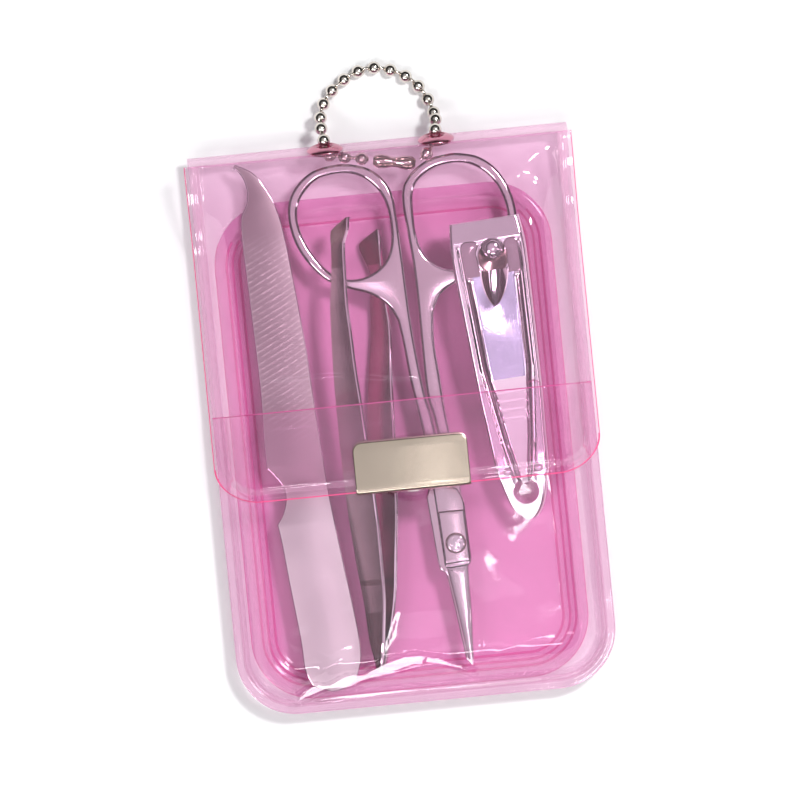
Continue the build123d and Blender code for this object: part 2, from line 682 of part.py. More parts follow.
# Lever, stowed along the body: fork round the pin, cam bulge, plate narrowing to the tail.
lever_right = [(5.4, 46.2), (5.25, 41.0), (4.55, 23.0), (3.9, 18.0), (2.85, 10.0), (1.75, 3.4)]
with BuildPart() as clipper_lever:
    with BuildSketch(clip_side.offset(-8)):
        with BuildLine():
            Polyline((0, 2.42), (5, 2.42), (44, 4.62), (48, 4.62), (48, 5.42), (43.5, 5.42), (4.5, 3.22), (0, 3.22), (0, 2.42))
        make_face()
    extrude(amount=16)
    with BuildSketch(clip):
        with BuildLine():
            Polyline(*lever_right)
            RadiusArc((1.75, 3.4), (-1.75, 3.4), 1.8)
            Polyline(*[(-x, y) for x, y in reversed(lever_right)])
            Line((-5.4, 46.2), (5.4, 46.2))
        make_face()
        with Locations((0.3, 44.4)):
            Rectangle(5.0, 7.0, mode=Mode.SUBTRACT)
    extrude(amount=8, mode=Mode.INTERSECT)
    with BuildSketch(clip.offset(5.0)):
        with BuildLine():
            Polyline((-3.0, 40.6), (3.0, 40.6), (1.9, 36.5), (0.0, 33.9), (-1.9, 36.5), (-3.0, 40.6))
        make_face()
    with BuildSketch(clip.offset(6.1)):
        with BuildLine():
            Polyline((-1.0, 40.6), (1.0, 40.6), (0.7, 38.0), (0.0, 36.2), (-0.7, 38.0), (-1.0, 40.6))
        make_face()
    loft()
clipper_lever.part.label = "clipper_lever"

for piece in (
    chain_loop_balls, chain_loop_links, chain_inner_balls, chain_inner_links, chain_connector,
    nail_file, scissors_left_half, scissors_right_half, scissors_screw,
    tweezers_left_arm, tweezers_right_arm, clipper_lower_leaf, clipper_upper_leaf,
    clipper_rivets, clipper_pin, clipper_lever,
):
    export_step(piece.part, f"parts/{piece.part.label}.step")
    print(piece.part.label, round(piece.part.volume, 1), len(piece.part.solids()), piece.part.is_valid)
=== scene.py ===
import bpy
import bmesh
import math
import numpy as np
from mathutils import Matrix, Vector


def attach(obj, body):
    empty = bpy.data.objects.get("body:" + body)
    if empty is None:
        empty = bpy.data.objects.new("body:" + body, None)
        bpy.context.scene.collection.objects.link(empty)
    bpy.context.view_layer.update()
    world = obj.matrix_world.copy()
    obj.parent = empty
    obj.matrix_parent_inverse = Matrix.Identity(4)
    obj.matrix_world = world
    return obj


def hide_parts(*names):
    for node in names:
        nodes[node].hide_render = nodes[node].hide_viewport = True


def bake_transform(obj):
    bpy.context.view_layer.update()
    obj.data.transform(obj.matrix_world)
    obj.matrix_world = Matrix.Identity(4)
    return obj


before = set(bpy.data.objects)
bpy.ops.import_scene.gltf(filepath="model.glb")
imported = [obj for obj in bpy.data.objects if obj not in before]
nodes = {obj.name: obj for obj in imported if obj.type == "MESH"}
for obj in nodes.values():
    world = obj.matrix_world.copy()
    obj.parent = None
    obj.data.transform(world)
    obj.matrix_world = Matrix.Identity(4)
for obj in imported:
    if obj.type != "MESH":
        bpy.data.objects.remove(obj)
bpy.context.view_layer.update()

MM = 0.001

# ------------------------------------------------------------------ camera
# Straight above the pouch, rolled 5.6 degrees, long lens. 800 px cover 146.8 mm.
ROLL = math.radians(5.6)
DIST = 1.30
cam_data = bpy.data.cameras.new("cam")
cam_data.sensor_width = 36.0
cam_data.lens = 36.0 * DIST / 0.1468
cam_data.clip_start, cam_data.clip_end = 0.05, 20.0
cam = bpy.data.objects.new("cam", cam_data)
bpy.context.collection.objects.link(cam)
cam.location = (-0.00036, 0.00385, DIST + 0.006)
cam.rotation_euler = (0.0, 0.0, -ROLL)
bpy.context.scene.camera = cam


def from_px(px, py):
    """CAD millimetres under a point of the 800 x 800 view."""
    k = 0.1835
    dx, dy = px - 404.0, 420.7 - py
    return (k * (dx * 0.9952 + dy * 0.0976), k * (-dx * 0.0976 + dy * 0.9952))


# ------------------------------------------------------------------ materials
class Nodes:
    """A material's node tree, filled a node at a time."""

    def __init__(self, name):
        self.mat = bpy.data.materials.new(name)
        self.mat.use_nodes = True
        self.nt = self.mat.node_tree
        self.nt.nodes.clear()
        self.out = self.add("ShaderNodeOutputMaterial")

    def add(self, kind, values=None, **props):
        n = self.nt.nodes.new(kind)
        for k, v in props.items():
            setattr(n, k, v)
        for k, v in (values or {}).items():
            n.inputs[k].default_value = v
        return n

    def link(self, a, b):
        self.nt.links.new(a, b)

    def coords(self, scale=(1, 1, 1), rotation=(0, 0, 0)):
        tc = self.add("ShaderNodeTexCoord")
        mp = self.add("ShaderNodeMapping")
        mp.inputs["Scale"].default_value = scale
        mp.inputs["Rotation"].default_value = rotation
        self.link(tc.outputs["Object"], mp.inputs["Vector"])
        return mp.outputs["Vector"]

    def noise(self, scale, detail=2.0, rough=0.5, vector=None):
        n = self.add("ShaderNodeTexNoise", {"Scale": scale, "Detail": detail, "Roughness": rough})
        self.link(vector if vector is not None else self.coords(), n.inputs["Vector"])
        return n.outputs["Fac"]

    def ramp(self, fac, stops):
        r = self.add("ShaderNodeValToRGB")
        e = r.color_ramp.elements
        while len(e) < len(stops):
            e.new(0.5)
        for el, (pos, col) in zip(e, stops):
            el.position = pos
            el.color = (*col, 1) if len(col) == 3 else (col[0], col[0], col[0], 1)
        self.link(fac, r.inputs["Fac"])
        return r.outputs["Color"]

    def math(self, op, a, b=None, clamp=False):
        m = self.add("ShaderNodeMath", operation=op, use_clamp=clamp)
        for i, v in enumerate((a, b)):
            if v is None:
                continue
            if isinstance(v, (int, float)):
                m.inputs[i].default_value = v
            else:
                self.link(v, m.inputs[i])
        return m.outputs[0]

    def bump(self, height, strength, distance, normal=None):
        b = self.add("ShaderNodeBump", {"Strength": strength, "Distance": distance})
        self.link(height, b.inputs["Height"])
        if normal is not None:
            self.link(normal, b.inputs["Normal"])
        return b.outputs["Normal"]


def vinyl(name, tint, haze, haze_colour, ripple=1.0, rough=0.05, shadow=(0.86, 0.85, 0.86), gloss=1.0):
    """Clear vinyl: each face passes tint, mirrors by Fresnel, and scatters a share (haze)."""
    m = Nodes(name)
    v = m.coords()
    broad = m.noise(140.0, 2.0, 0.45, v)
    fine = m.noise(900.0, 3.0, 0.6, v)
    height = m.math("ADD", m.math("MULTIPLY", broad, 1.0), m.math("MULTIPLY", fine, 0.02))
    normal = m.bump(height, 1.0, 0.00009 * ripple)
    clear = m.add("ShaderNodeBsdfTransparent")
    mottle = m.ramp(m.noise(60.0, 3.0, 0.5, v), [(0.3, tint), (0.7, tuple(min(1.0, c * 1.02 + 0.004) for c in tint))])
    m.link(mottle, clear.inputs["Color"])
    mirror = m.add("ShaderNodeBsdfGlossy", {"Color": (1, 1, 1, 1), "Roughness": rough})
    m.link(normal, mirror.inputs["Normal"])
    lw = m.add("ShaderNodeLayerWeight", {"Blend": 0.5})
    m.link(normal, lw.inputs["Normal"])
    fres = m.math("ADD", m.math("MULTIPLY", m.math("POWER", lw.outputs["Facing"], 5.0), 0.8 * gloss), 0.042 * gloss)
    film = m.add("ShaderNodeMixShader")
    m.link(fres, film.inputs["Fac"])
    m.link(clear.outputs[0], film.inputs[1])
    m.link(mirror.outputs[0], film.inputs[2])
    milk = m.add("ShaderNodeBsdfDiffuse", {"Color": (*haze_colour, 1), "Roughness": 0.3})
    mix = m.add("ShaderNodeMixShader")
    m.link(m.ramp(m.noise(80.0, 4.0, 0.6, v), [(0.25, (haze * 0.88,)), (0.75, (haze * 1.12,))]), mix.inputs["Fac"])
    m.link(film.outputs[0], mix.inputs[1])
    m.link(milk.outputs[0], mix.inputs[2])
    # The light that the sheet lets down on the table keeps a neutral tone.
    grey = m.add("ShaderNodeBsdfTransparent", {"Color": (*shadow, 1)})
    path = m.add("ShaderNodeLightPath")
    last = m.add("ShaderNodeMixShader")
    m.link(path.outputs["Is Shadow Ray"], last.inputs["Fac"])
    m.link(mix.outputs[0], last.inputs[1])
    m.link(grey.outputs[0], last.inputs[2])
    m.link(last.outputs[0], m.out.inputs["Surface"])
    return m.mat


def metal(name, colour, rough, brush=None, brush_dir=(0, 0, 0), brush_depth=0.00002, wear=0.0, bump=0.0, dark=None, metallic=1.0, even=0.14):
    """Plated or satin steel: colour, tarnish patches, fine brushing, slight waviness."""
    m = Nodes(name)
    bsdf = m.add("ShaderNodeBsdfPrincipled", {"Metallic": metallic, "Roughness": rough})
    v = m.coords()
    patch = m.noise(110.0, 2.0, 0.5, v)
    lo = tuple(c * (1 - even) for c in colour) if dark is None else dark
    m.link(m.ramp(patch, [(0.32, lo), (0.62, colour)]), bsdf.inputs["Base Color"])
    m.link(m.ramp(m.noise(150.0, 1.0, 0.5, v), [(0.1, (max(0.02, rough * 0.85),)), (0.9, (min(1, rough * 1.15 + wear),))]), bsdf.inputs["Roughness"])
    heights = []
    if brush is not None:
        heights.append((m.noise(1.0, 3.0, 0.7, m.coords(brush, brush_dir)), brush_depth))
    if bump:
        heights.append((m.noise(170.0, 2.0, 0.5, v), bump))
    normal = None
    for h, d in heights:
        normal = m.bump(h, 1.0, d, normal)
    if normal is not None:
        m.link(normal, bsdf.inputs["Normal"])
    m.link(bsdf.outputs[0], m.out.inputs["Surface"])
    return m.mat


PINK = (0.955, 0.80, 0.915)
MILK = (0.90, 0.50, 0.74)
mat_clear = vinyl("vinyl_clear", (0.972, 0.902, 0.948), 0.022, (0.95, 0.58, 0.78), gloss=0.85, shadow=(0.93, 0.92, 0.93))
mat_flap = vinyl("vinyl_flap", (0.972, 0.876, 0.936), 0.022, (0.95, 0.52, 0.76), gloss=0.85, shadow=(0.93, 0.92, 0.93))
mat_base = vinyl("vinyl_back", (0.968, 0.896, 0.942), 0.16, (0.91, 0.76, 0.85), ripple=0.6, rough=0.12, gloss=0.6, shadow=(0.93, 0.91, 0.93))
mat_rim = vinyl("vinyl_back_rim", (0.970, 0.900, 0.942), 0.34, (0.94, 0.76, 0.86), ripple=0.4, rough=0.12, gloss=0.6, shadow=(0.14, 0.14, 0.14))
mat_tray = vinyl("vinyl_insert", (0.942, 0.705, 0.850), 0.24, (0.78, 0.40, 0.64), ripple=0.25, rough=0.14, gloss=0.5, shadow=(0.93, 0.91, 0.93))
mat_step = vinyl("vinyl_insert_step", (0.90, 0.44, 0.66), 0.42, (0.86, 0.22, 0.53), ripple=0.25, rough=0.12, gloss=0.7, shadow=(0.92, 0.90, 0.92))
mat_hem = vinyl("vinyl_cut_edge", (0.95, 0.42, 0.62), 0.62, (0.95, 0.16, 0.38), ripple=0.2, rough=0.1, gloss=1.0, shadow=(0.85, 0.8, 0.82))
mat_weld = vinyl("vinyl_weld", (0.965, 0.84, 0.915), 0.14, (0.93, 0.60, 0.79), ripple=0.3, rough=0.08, gloss=1.2, shadow=(0.60, 0.59, 0.60))

mat_file = metal("file_satin", (0.66, 0.59, 0.61), 0.30, brush=(2500, 160, 160), brush_dir=(0, 0, 0.07), brush_depth=0.000006, even=0.05)


def cut_rows(mat, angle, pitch, fade):
    """Single-cut file rows, raised and painted brighter (a painted highlight), faded along y (fade: (low, high) in
    metres). The file is also painted darker above y = -9 mm, a painted shade where the flap lies over it.
    """
    nt = mat.node_tree
    new, link = nt.nodes.new, nt.links.new
    bsdf = next(n for n in nt.nodes if n.type == "BSDF_PRINCIPLED")
    tc_, mp_ = new("ShaderNodeTexCoord"), new("ShaderNodeMapping")
    mp_.inputs["Rotation"].default_value = (0, 0, -angle)
    link(tc_.outputs["Object"], mp_.inputs["Vector"])
    sp_ = new("ShaderNodeSeparateXYZ")
    link(mp_.outputs["Vector"], sp_.inputs[0])

    def op(kind, a_, b_=None, clamp=False):
        m_ = new("ShaderNodeMath")
        m_.operation, m_.use_clamp = kind, clamp
        for i_, v_ in enumerate((a_, b_)):
            if isinstance(v_, (int, float)):
                m_.inputs[i_].default_value = v_
            elif v_ is not None:
                link(v_, m_.inputs[i_])
        return m_.outputs[0]

    wave = op("SINE", op("MULTIPLY", sp_.outputs["Y"], 2 * math.pi / pitch))
    line = op("POWER", op("MULTIPLY", op("ADD", wave, 1.0), 0.5), 3.0)
    sp2 = new("ShaderNodeSeparateXYZ")
    link(tc_.outputs["Object"], sp2.inputs[0])
    up = op("MULTIPLY", op("SUBTRACT", sp2.outputs["Y"], fade[0]), 1 / (fade[1] - fade[0]), True)
    down = op("MULTIPLY", op("SUBTRACT", fade[3], sp2.outputs["Y"]), 1 / (fade[3] - fade[2]), True)
    no_ = new("ShaderNodeTexNoise")
    no_.inputs["Scale"].default_value = 900.0
    link(tc_.outputs["Object"], no_.inputs["Vector"])
    broken = op("MULTIPLY", op("SUBTRACT", no_.outputs["Fac"], 0.3), 2.6, True)
    rows_relief_and_highlight = op("MULTIPLY", op("MULTIPLY", line, broken), op("MULTIPLY", up, down))
    old = bsdf.inputs["Base Color"].links[0].from_socket
    # painted highlight: the rows are mixed towards near-white
    row_highlight_mix = new("ShaderNodeMixRGB")
    row_highlight_mix.inputs[2].default_value = (0.98, 0.93, 0.93, 1)
    link(op("MULTIPLY", rows_relief_and_highlight, 1.0), row_highlight_mix.inputs[0])
    link(old, row_highlight_mix.inputs[1])
    # painted shade: above y = -9 mm, under the flap, the colour is multiplied darker; below y = -13 mm it is left as it
    # is
    clear_of_flap_shade = op("MULTIPLY", op("SUBTRACT", -0.009, sp2.outputs["Y"]), 1 / 0.004, True)
    painted_shade_multiply = new("ShaderNodeMixRGB")
    painted_shade_multiply.blend_type = "MULTIPLY"
    painted_shade_multiply.inputs[0].default_value = 1.0
    painted_flap_shade = new("ShaderNodeMixRGB")
    painted_flap_shade.inputs[1].default_value = (0.66, 0.60, 0.62, 1)
    painted_flap_shade.inputs[2].default_value = (1.0, 1.0, 1.0, 1)
    link(clear_of_flap_shade, painted_flap_shade.inputs[0])
    link(row_highlight_mix.outputs[0], painted_shade_multiply.inputs[1])
    link(painted_flap_shade.outputs[0], painted_shade_multiply.inputs[2])
    link(painted_shade_multiply.outputs[0], bsdf.inputs["Base Color"])
    bp = new("ShaderNodeBump")
    bp.inputs["Distance"].default_value = 0.00003
    link(rows_relief_and_highlight, bp.inputs["Height"])
    if bsdf.inputs["Normal"].links:
        link(bsdf.inputs["Normal"].links[0].from_socket, bp.inputs["Normal"])
    link(bp.outputs["Normal"], bsdf.inputs["Normal"])


cut_rows(mat_file, math.radians(26), 0.00098, (-0.004, 0.012, 0.030, 0.037))
mat_scissors = metal("scissors_satin", (0.82, 0.74, 0.77), 0.15, brush=(2500, 300, 300), brush_depth=0.000003, even=0.04)
mat_tweezers = metal("tweezers_dark", (0.50, 0.40, 0.41), 0.17, brush=(2500, 200, 200), brush_depth=0.000004, dark=(0.40, 0.30, 0.31))
# painted shade: a dark copy of the tweezer steel, standing in for dark reflections on the tips and low on the arms
mat_tw_painted_dark = metal("tweezers_painted_dark", (0.26, 0.17, 0.17), 0.2, brush=(2500, 200, 200), brush_depth=0.000006, even=0.1)
mat_edge = metal("polished_edge", (0.80, 0.76, 0.78), 0.07, bump=0.00002)
mat_chrome = metal("clipper_chrome", (0.86, 0.84, 0.86), 0.08, bump=0.00001, even=0.04)
# painted shade: a darker, mauve copy of the chrome, for the lever's fork and one nose facet
mat_fork_painted_shade = metal("clipper_fork_painted_shade", (0.62, 0.52, 0.57), 0.10, bump=0.00001, even=0.05)
# painted shade: a dark copy of the chrome, for the hollow round the clipper's pin, a nose facet and the scissors
# screw's seat
mat_painted_shade = metal("clipper_painted_shade", (0.30, 0.20, 0.21), 0.22, bump=0.00003, even=0.2)
# painted reflection: a whitish, nearly diffuse copy of the chrome, standing in for the bright reflection on the
# clipper's lower leaf and the lever's low end
mat_tail_painted_reflection = metal("clipper_tail_painted_reflection", (0.93, 0.90, 0.94), 0.30, metallic=0.25, bump=0.00001, even=0.03)
# painted reflection: the panel's bluish colour stands in for a bluish reflection; its fine glitter bump is the panel's
# own finish
mat_panel_painted_reflection = metal("lever_panel_painted_reflection", (0.66, 0.71, 0.86), 0.055, brush=(2200, 2200, 2200), brush_depth=0.000010, even=0.10)
mat_stud = metal("press_stud_nickel", (0.72, 0.68, 0.66), 0.22, bump=0.0001)
mat_plate = metal("clasp_champagne", (0.57, 0.475, 0.39), 0.24, brush=(160, 3000, 160), brush_dir=(0, 0, 0.4), brush_depth=0.000006, even=0.05)
mat_chain = metal("chain_nickel_warm", (0.76, 0.70, 0.64), 0.10, bump=0.00004)
mat_eyelet = metal("eyelet_rose", (0.66, 0.26, 0.36), 0.24, bump=0.00006)

LOOK = {
    "nail_file": mat_file, "scissors_left_half": mat_scissors, "scissors_right_half": mat_scissors,
    "scissors_screw": mat_chrome, "tweezers_left_arm": mat_tweezers, "tweezers_right_arm": mat_tweezers,
    "clipper_lower_leaf": mat_chrome, "clipper_upper_leaf": mat_chrome, "clipper_rivets": mat_chrome,
    "clipper_pin": mat_chrome, "clipper_lever": mat_chrome, "clasp_plate": mat_plate,
    "snap_socket": mat_stud, "snap_stud": mat_stud, "snap_back_ring": mat_stud,
    "eyelet_left": mat_eyelet, "eyelet_right": mat_eyelet, "eyelet_washers": mat_eyelet,
    "chain_inner_balls": mat_chain, "chain_inner_links": mat_chain, "chain_connector": mat_chain,
    "chain_loop_balls": mat_chain, "chain_loop_links": mat_chain,
}
for node_name, mat in LOOK.items():
    ob = nodes[node_name]
    for s in ob.material_slots:
        s.material = mat


# ------------------------------------------------------------------ mesh helpers
def new_mesh(name, verts, faces, mats, face_mat=None, smooth=True):
    """verts in millimetres."""
    me = bpy.data.meshes.new(name)
    me.from_pydata([tuple(float(c) * MM for c in p) for p in verts], [], [tuple(int(i) for i in f) for f in faces])
    for m in mats:
        me.materials.append(m)
    if face_mat is not None:
        me.polygons.foreach_set("material_index", np.asarray(face_mat, dtype=np.int32))
    me.polygons.foreach_set("use_smooth", np.full(len(me.polygons), smooth))
    me.update()
    me.validate()
    ob = bpy.data.objects.new(name, me)
    bpy.context.collection.objects.link(ob)
    return ob


def hash_noise(x, y, scale, seed):
    """Smooth value noise on a square lattice, from -1 to 1, the same on every run."""
    rng = np.random.default_rng(seed)
    table = rng.uniform(-1, 1, (64, 64))
    u, v = x / scale + 1000.0, y / scale + 1000.0
    iu, iv = np.floor(u).astype(int), np.floor(v).astype(int)
    fu, fv = u - iu, v - iv
    fu, fv = fu * fu * (3 - 2 * fu), fv * fv * (3 - 2 * fv)
    a, b = table[iu % 64, iv % 64], table[(iu + 1) % 64, iv % 64]
    c, d = table[iu % 64, (iv + 1) % 64], table[(iu + 1) % 64, (iv + 1) % 64]
    return (a * (1 - fu) + b * fu) * (1 - fv) + (c * (1 - fu) + d * fu) * fv


def line_distance(x, y, pts):
    """Distance from each point to a polyline, and how far along it (0 to 1) the nearest point is."""
    best = np.full(x.shape, 1e9)
    along = np.zeros(x.shape)
    total = sum(math.hypot(b[0] - a[0], b[1] - a[1]) for a, b in zip(pts, pts[1:]))
    run = 0.0
    for a, b in zip(pts, pts[1:]):
        ax, ay = a
        dx, dy = b[0] - ax, b[1] - ay
        ln = math.hypot(dx, dy)
        t = np.clip(((x - ax) * dx + (y - ay) * dy) / (ln * ln), 0, 1)
        d = np.hypot(x - ax - t * dx, y - ay - t * dy)
        near = d < best
        best = np.where(near, d, best)
        along = np.where(near, (run + t * ln) / total, along)
        run += ln
    return best, along


def crease(x, y, pts, width, height):
    """A rounded fold along a line, tapering to its ends."""
    d, t = line_distance(x, y, pts)
    taper = np.clip(np.minimum(t, 1 - t) * 5, 0, 1)
    return height * np.exp(-((d / width) ** 2)) * (0.25 + 0.75 * taper)


def smooth01(t):
    t = np.clip(t, 0, 1)
    return t * t * (3 - 2 * t)


def inside_outline(x, y, hw, low, high, r):
    """Distance in from an outline with two rounded lower corners."""
    ax = np.abs(x)
    d = np.minimum(np.minimum(hw - ax, y - low), high - y)
    corner = (ax > hw - r) & (y < low + r)
    return np.where(corner, r - np.hypot(ax - (hw - r), y - (low + r)), d)


def inside_round_rect(x, y, cx, cy, hw, hh, r):
    ax, ay = np.abs(x - cx), np.abs(y - cy)
    d = np.minimum(hw - ax, hh - ay)
    corner = (ax > hw - r) & (ay > hh - r)
    return np.where(corner, r - np.hypot(ax - (hw - r), ay - (hh - r)), d)


def spread(n_edge, n_mid, edge, total):
    """Positions from 0 to total, fine over the outer edge at both ends."""
    a = np.linspace(0, edge, n_edge, endpoint=False)
    b = np.linspace(edge, total - edge, n_mid, endpoint=False)
    c = np.linspace(total - edge, total, n_edge + 1)
    return np.concatenate([a, b, c])


def sheet_rows(name, x, y, top, thick, mats, cell_mat=None, drop=0.0):
    """A closed thin sheet from a grid of rows: x, y and top are (rows, columns), in millimetres.
    The rim's corner is rounded over by drop."""
    rows, cols = x.shape
    z = top.copy()
    if drop:
        z[0, :] -= drop
        z[-1, :] -= drop
        z[1:-1, 0] -= drop
        z[1:-1, -1] -= drop
    low = top - thick
    n = rows * cols
    verts = np.concatenate([
        np.stack([x.ravel(), y.ravel(), z.ravel()], 1),
        np.stack([x.ravel(), y.ravel(), low.ravel()], 1),
    ])
    idx = np.arange(n).reshape(rows, cols)
    a, b, c, d = idx[:-1, :-1].ravel(), idx[:-1, 1:].ravel(), idx[1:, 1:].ravel(), idx[1:, :-1].ravel()
    up = np.stack([a, b, c, d], 1)
    down = np.stack([d + n, c + n, b + n, a + n], 1)
    border = np.concatenate([idx[0, :], idx[1:, -1], idx[-1, -2::-1], idx[-2:0:-1, 0]])
    nxt = np.roll(border, -1)
    side = np.stack([border + n, nxt + n, nxt, border], 1)
    faces = np.concatenate([up, down, side])
    if cell_mat is None:
        cell_mat = np.zeros((rows - 1, cols - 1), int)
    fm = np.concatenate([cell_mat.ravel(), cell_mat.ravel(), np.full(len(side), 1 if len(mats) > 1 else 0)])
    return new_mesh(name, verts, faces, mats, fm)


# ------------------------------------------------------------------ pouch
HW, LOW, TOP, R = 35.0, -51.75, 51.75, 11.0
RIM = 4.0
TX, TY, TW, TH, TR = -0.8, -3.5, 28.8, 43.4, 9.0


def half_width(y, hw, low, r):
    t = np.clip(low + r - y, 0, r)
    return hw - r + np.sqrt(np.maximum(r * r - t * t, 0))


def case_rows(high, n_low, n_rest, n_edge=26, n_mid=70, hw=HW, low=LOW, r=R):
    """Rows of the case's outline from its bottom edge up to high."""
    turn = 1 - np.cos(np.linspace(0, math.pi / 2, n_low, endpoint=False))
    ys = np.concatenate([low + r * turn, np.linspace(low + r, high, n_rest)])
    s = spread(n_edge, n_mid, 4.0, 2 * hw) / hw - 1
    w = half_width(ys, hw, low, r)
    return w[:, None] * s[None, :], np.repeat(ys[:, None], len(s), 1)


def weld_lines(d):
    """Pressed weld: a groove between two beads, and fine parallel lines outside it."""
    bead = 0.13 * np.exp(-(((d - 2.45) / 0.16) ** 2)) + 0.10 * np.exp(-(((d - 1.55) / 0.14) ** 2))
    groove = -0.14 * np.exp(-(((d - 2.0) / 0.2) ** 2))
    fine = 0.045 * np.exp(-(((d - 0.75) / 0.12) ** 2))
    return bead + groove + fine


# back sheet
bx, by = case_rows(TOP, 40, 190)
dish = inside_round_rect(bx, by, TX, TY, TW + 2.4, TH + 2.4, TR + 2.4)
wave = 0.06 * hash_noise(bx, by, 9.0, 3)
back_top = RIM - 3.62 * smooth01(dish / 4.0) + np.where(dish > 4.0, 0.02 * hash_noise(bx, by, 5, 8), 0)
edge_d = inside_outline(bx, by, HW, LOW, TOP, R)
cells = np.zeros((bx.shape[0] - 1, bx.shape[1] - 1), int)
mid_d = (edge_d[:-1, :-1] + edge_d[1:, 1:]) / 2
cells[mid_d < 2.0] = 1
back = sheet_rows("back_sheet", bx, by, back_top, 0.36, [mat_base, mat_rim], cells, drop=0.1)
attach(back, "case")
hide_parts("back_panel")


# insert: swept steps round a rounded rectangle
def ring(cx, cy, hw, hh, r, inset, z, n_arc=14, n_x=26, n_y=40):
    hw, hh, r = hw - inset, hh - inset, max(r - inset, 0.02)
    pts = []
    for (sx, sy), a0 in (((1, -1), -90), ((1, 1), 0), ((-1, 1), 90), ((-1, -1), 180)):
        ox, oy = cx + sx * (hw - r), cy + sy * (hh - r)
        for i in range(n_arc + 1):
            a = math.radians(a0 + 90 * i / n_arc)
            pts.append((ox + r * math.cos(a), oy + r * math.sin(a)))
        # straight run to the next corner
        n = n_y if (sx, sy) in ((1, -1), (-1, 1)) else n_x
        nx = {(1, -1): (cx + hw, cy + hh - r), (1, 1): (cx - hw + r, cy + hh),
              (-1, 1): (cx - hw, cy - hh + r), (-1, -1): (cx + hw - r, cy - hh)}[(sx, sy)]
        x0, y0 = pts[-1]
        for i in range(1, n):
            t = i / n
            pts.append((x0 + (nx[0] - x0) * t, y0 + (nx[1] - y0) * t))
    return [(px, py, z) for px, py in pts]


top_profile = [
    (-2.3, RIM + 0.15), (-2.15, RIM + 0.33), (-1.2, RIM + 0.34), (-0.25, RIM + 0.34), (-0.12, RIM + 0.30),
    (0.10, RIM - 1.0), (0.22, RIM - 1.1), (0.85, RIM - 1.1), (0.98, RIM - 1.16),
    (1.2, RIM - 2.1), (1.34, RIM - 2.2), (2.05, RIM - 2.2), (2.18, RIM - 2.26),
    (2.44, RIM - 3.1), (2.6, RIM - 3.24), (4.0, RIM - 3.27), (8.0, RIM - 3.28), (16.0, RIM - 3.27), (24.0, RIM - 3.27), (28.6, RIM - 3.27),
]
step_mats = [1, 0, 0, 0, 1, 0, 0, 0, 1, 0, 0, 0, 1, 0, 0, 0, 0, 0, 0]
rings = [ring(TX, TY, TW, TH, TR, d, z) for d, z in top_profile]
under = [ring(TX, TY, TW, TH, TR, d - (0.22 if i not in (0, 1) else 0.0), z - 0.28) for i, (d, z) in enumerate(top_profile)]
under[-1] = ring(TX, TY, TW, TH, TR, 28.6, RIM - 3.55)
n_ring = len(rings[0])
verts, faces, fmat = [], [], []
for r_ in rings + under:
    verts += r_
k = len(rings)
for i in range(k - 1):
    for j in range(n_ring):
        j2 = (j + 1) % n_ring
        faces.append((i * n_ring + j, i * n_ring + j2, (i + 1) * n_ring + j2, (i + 1) * n_ring + j))
        fmat.append(step_mats[i] if i == 12 or rings[i][j][1] < TY + TH - 3.5 else 0)
        o = k * n_ring
        faces.append((o + (i + 1) * n_ring + j, o + (i + 1) * n_ring + j2, o + i * n_ring + j2, o + i * n_ring + j))
        fmat.append(step_mats[i] if i == 12 or rings[i][j][1] < TY + TH - 3.5 else 0)
for j in range(n_ring):
    j2 = (j + 1) % n_ring
    faces.append((k * n_ring + j, k * n_ring + j2, j2, j))
    fmat.append(1 if rings[0][j][1] < TY + TH - 3.5 else 0)
faces.append(tuple((k - 1) * n_ring + j for j in range(n_ring)))
fmat.append(0)
faces.append(tuple((2 * k - 1) * n_ring + (n_ring - 1 - j) for j in range(n_ring)))
fmat.append(0)
tray = new_mesh("insert_tray", verts, faces, [mat_tray, mat_step], fmat)
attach(tray, "case")
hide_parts("inner_tray")


# front pocket film
def swell(t, p=2.2):
    t = np.clip(t, 0, 1)
    return 1 - (1 - t) ** p


MOUTH = 3.9
SNAP = (0.6, -8.6)
px_, py_ = case_rows(MOUTH, 44, 200, n_edge=26, n_mid=110)
pd = inside_outline(px_, py_, HW, LOW, 60.0, R)


def pocket_shape(x, y):
    d = inside_outline(x, y, HW, LOW, 60.0, R)
    z = RIM + 0.4 + weld_lines(d)
    wr_ = 0.16 * hash_noise(x, y, 11.0, 21) + 0.07 * hash_noise(x + 3, y, 5.0, 22)
    z = z + 9.45 * swell((d - 2.4) / 7.2, 2.1) + wr_ * smooth01((d - 3.0) / 4.0)
    z = np.minimum(z, 14.2)
    return z - 2.1 * smooth01((6.1 - np.hypot(x - SNAP[0], y - SNAP[1])) / 0.8)


def mirror_slope(x, y, z, light):
    """dz/dx and dz/dy of a film at x, y, z (mm) that shows a light (m) to the camera."""
    p_ = Vector((x, y, z)) / 1000.0
    n_ = ((Vector(light) - p_).normalized() + (cam.location - p_).normalized()).normalized()
    return -n_.x / n_.z, -n_.y / n_.z


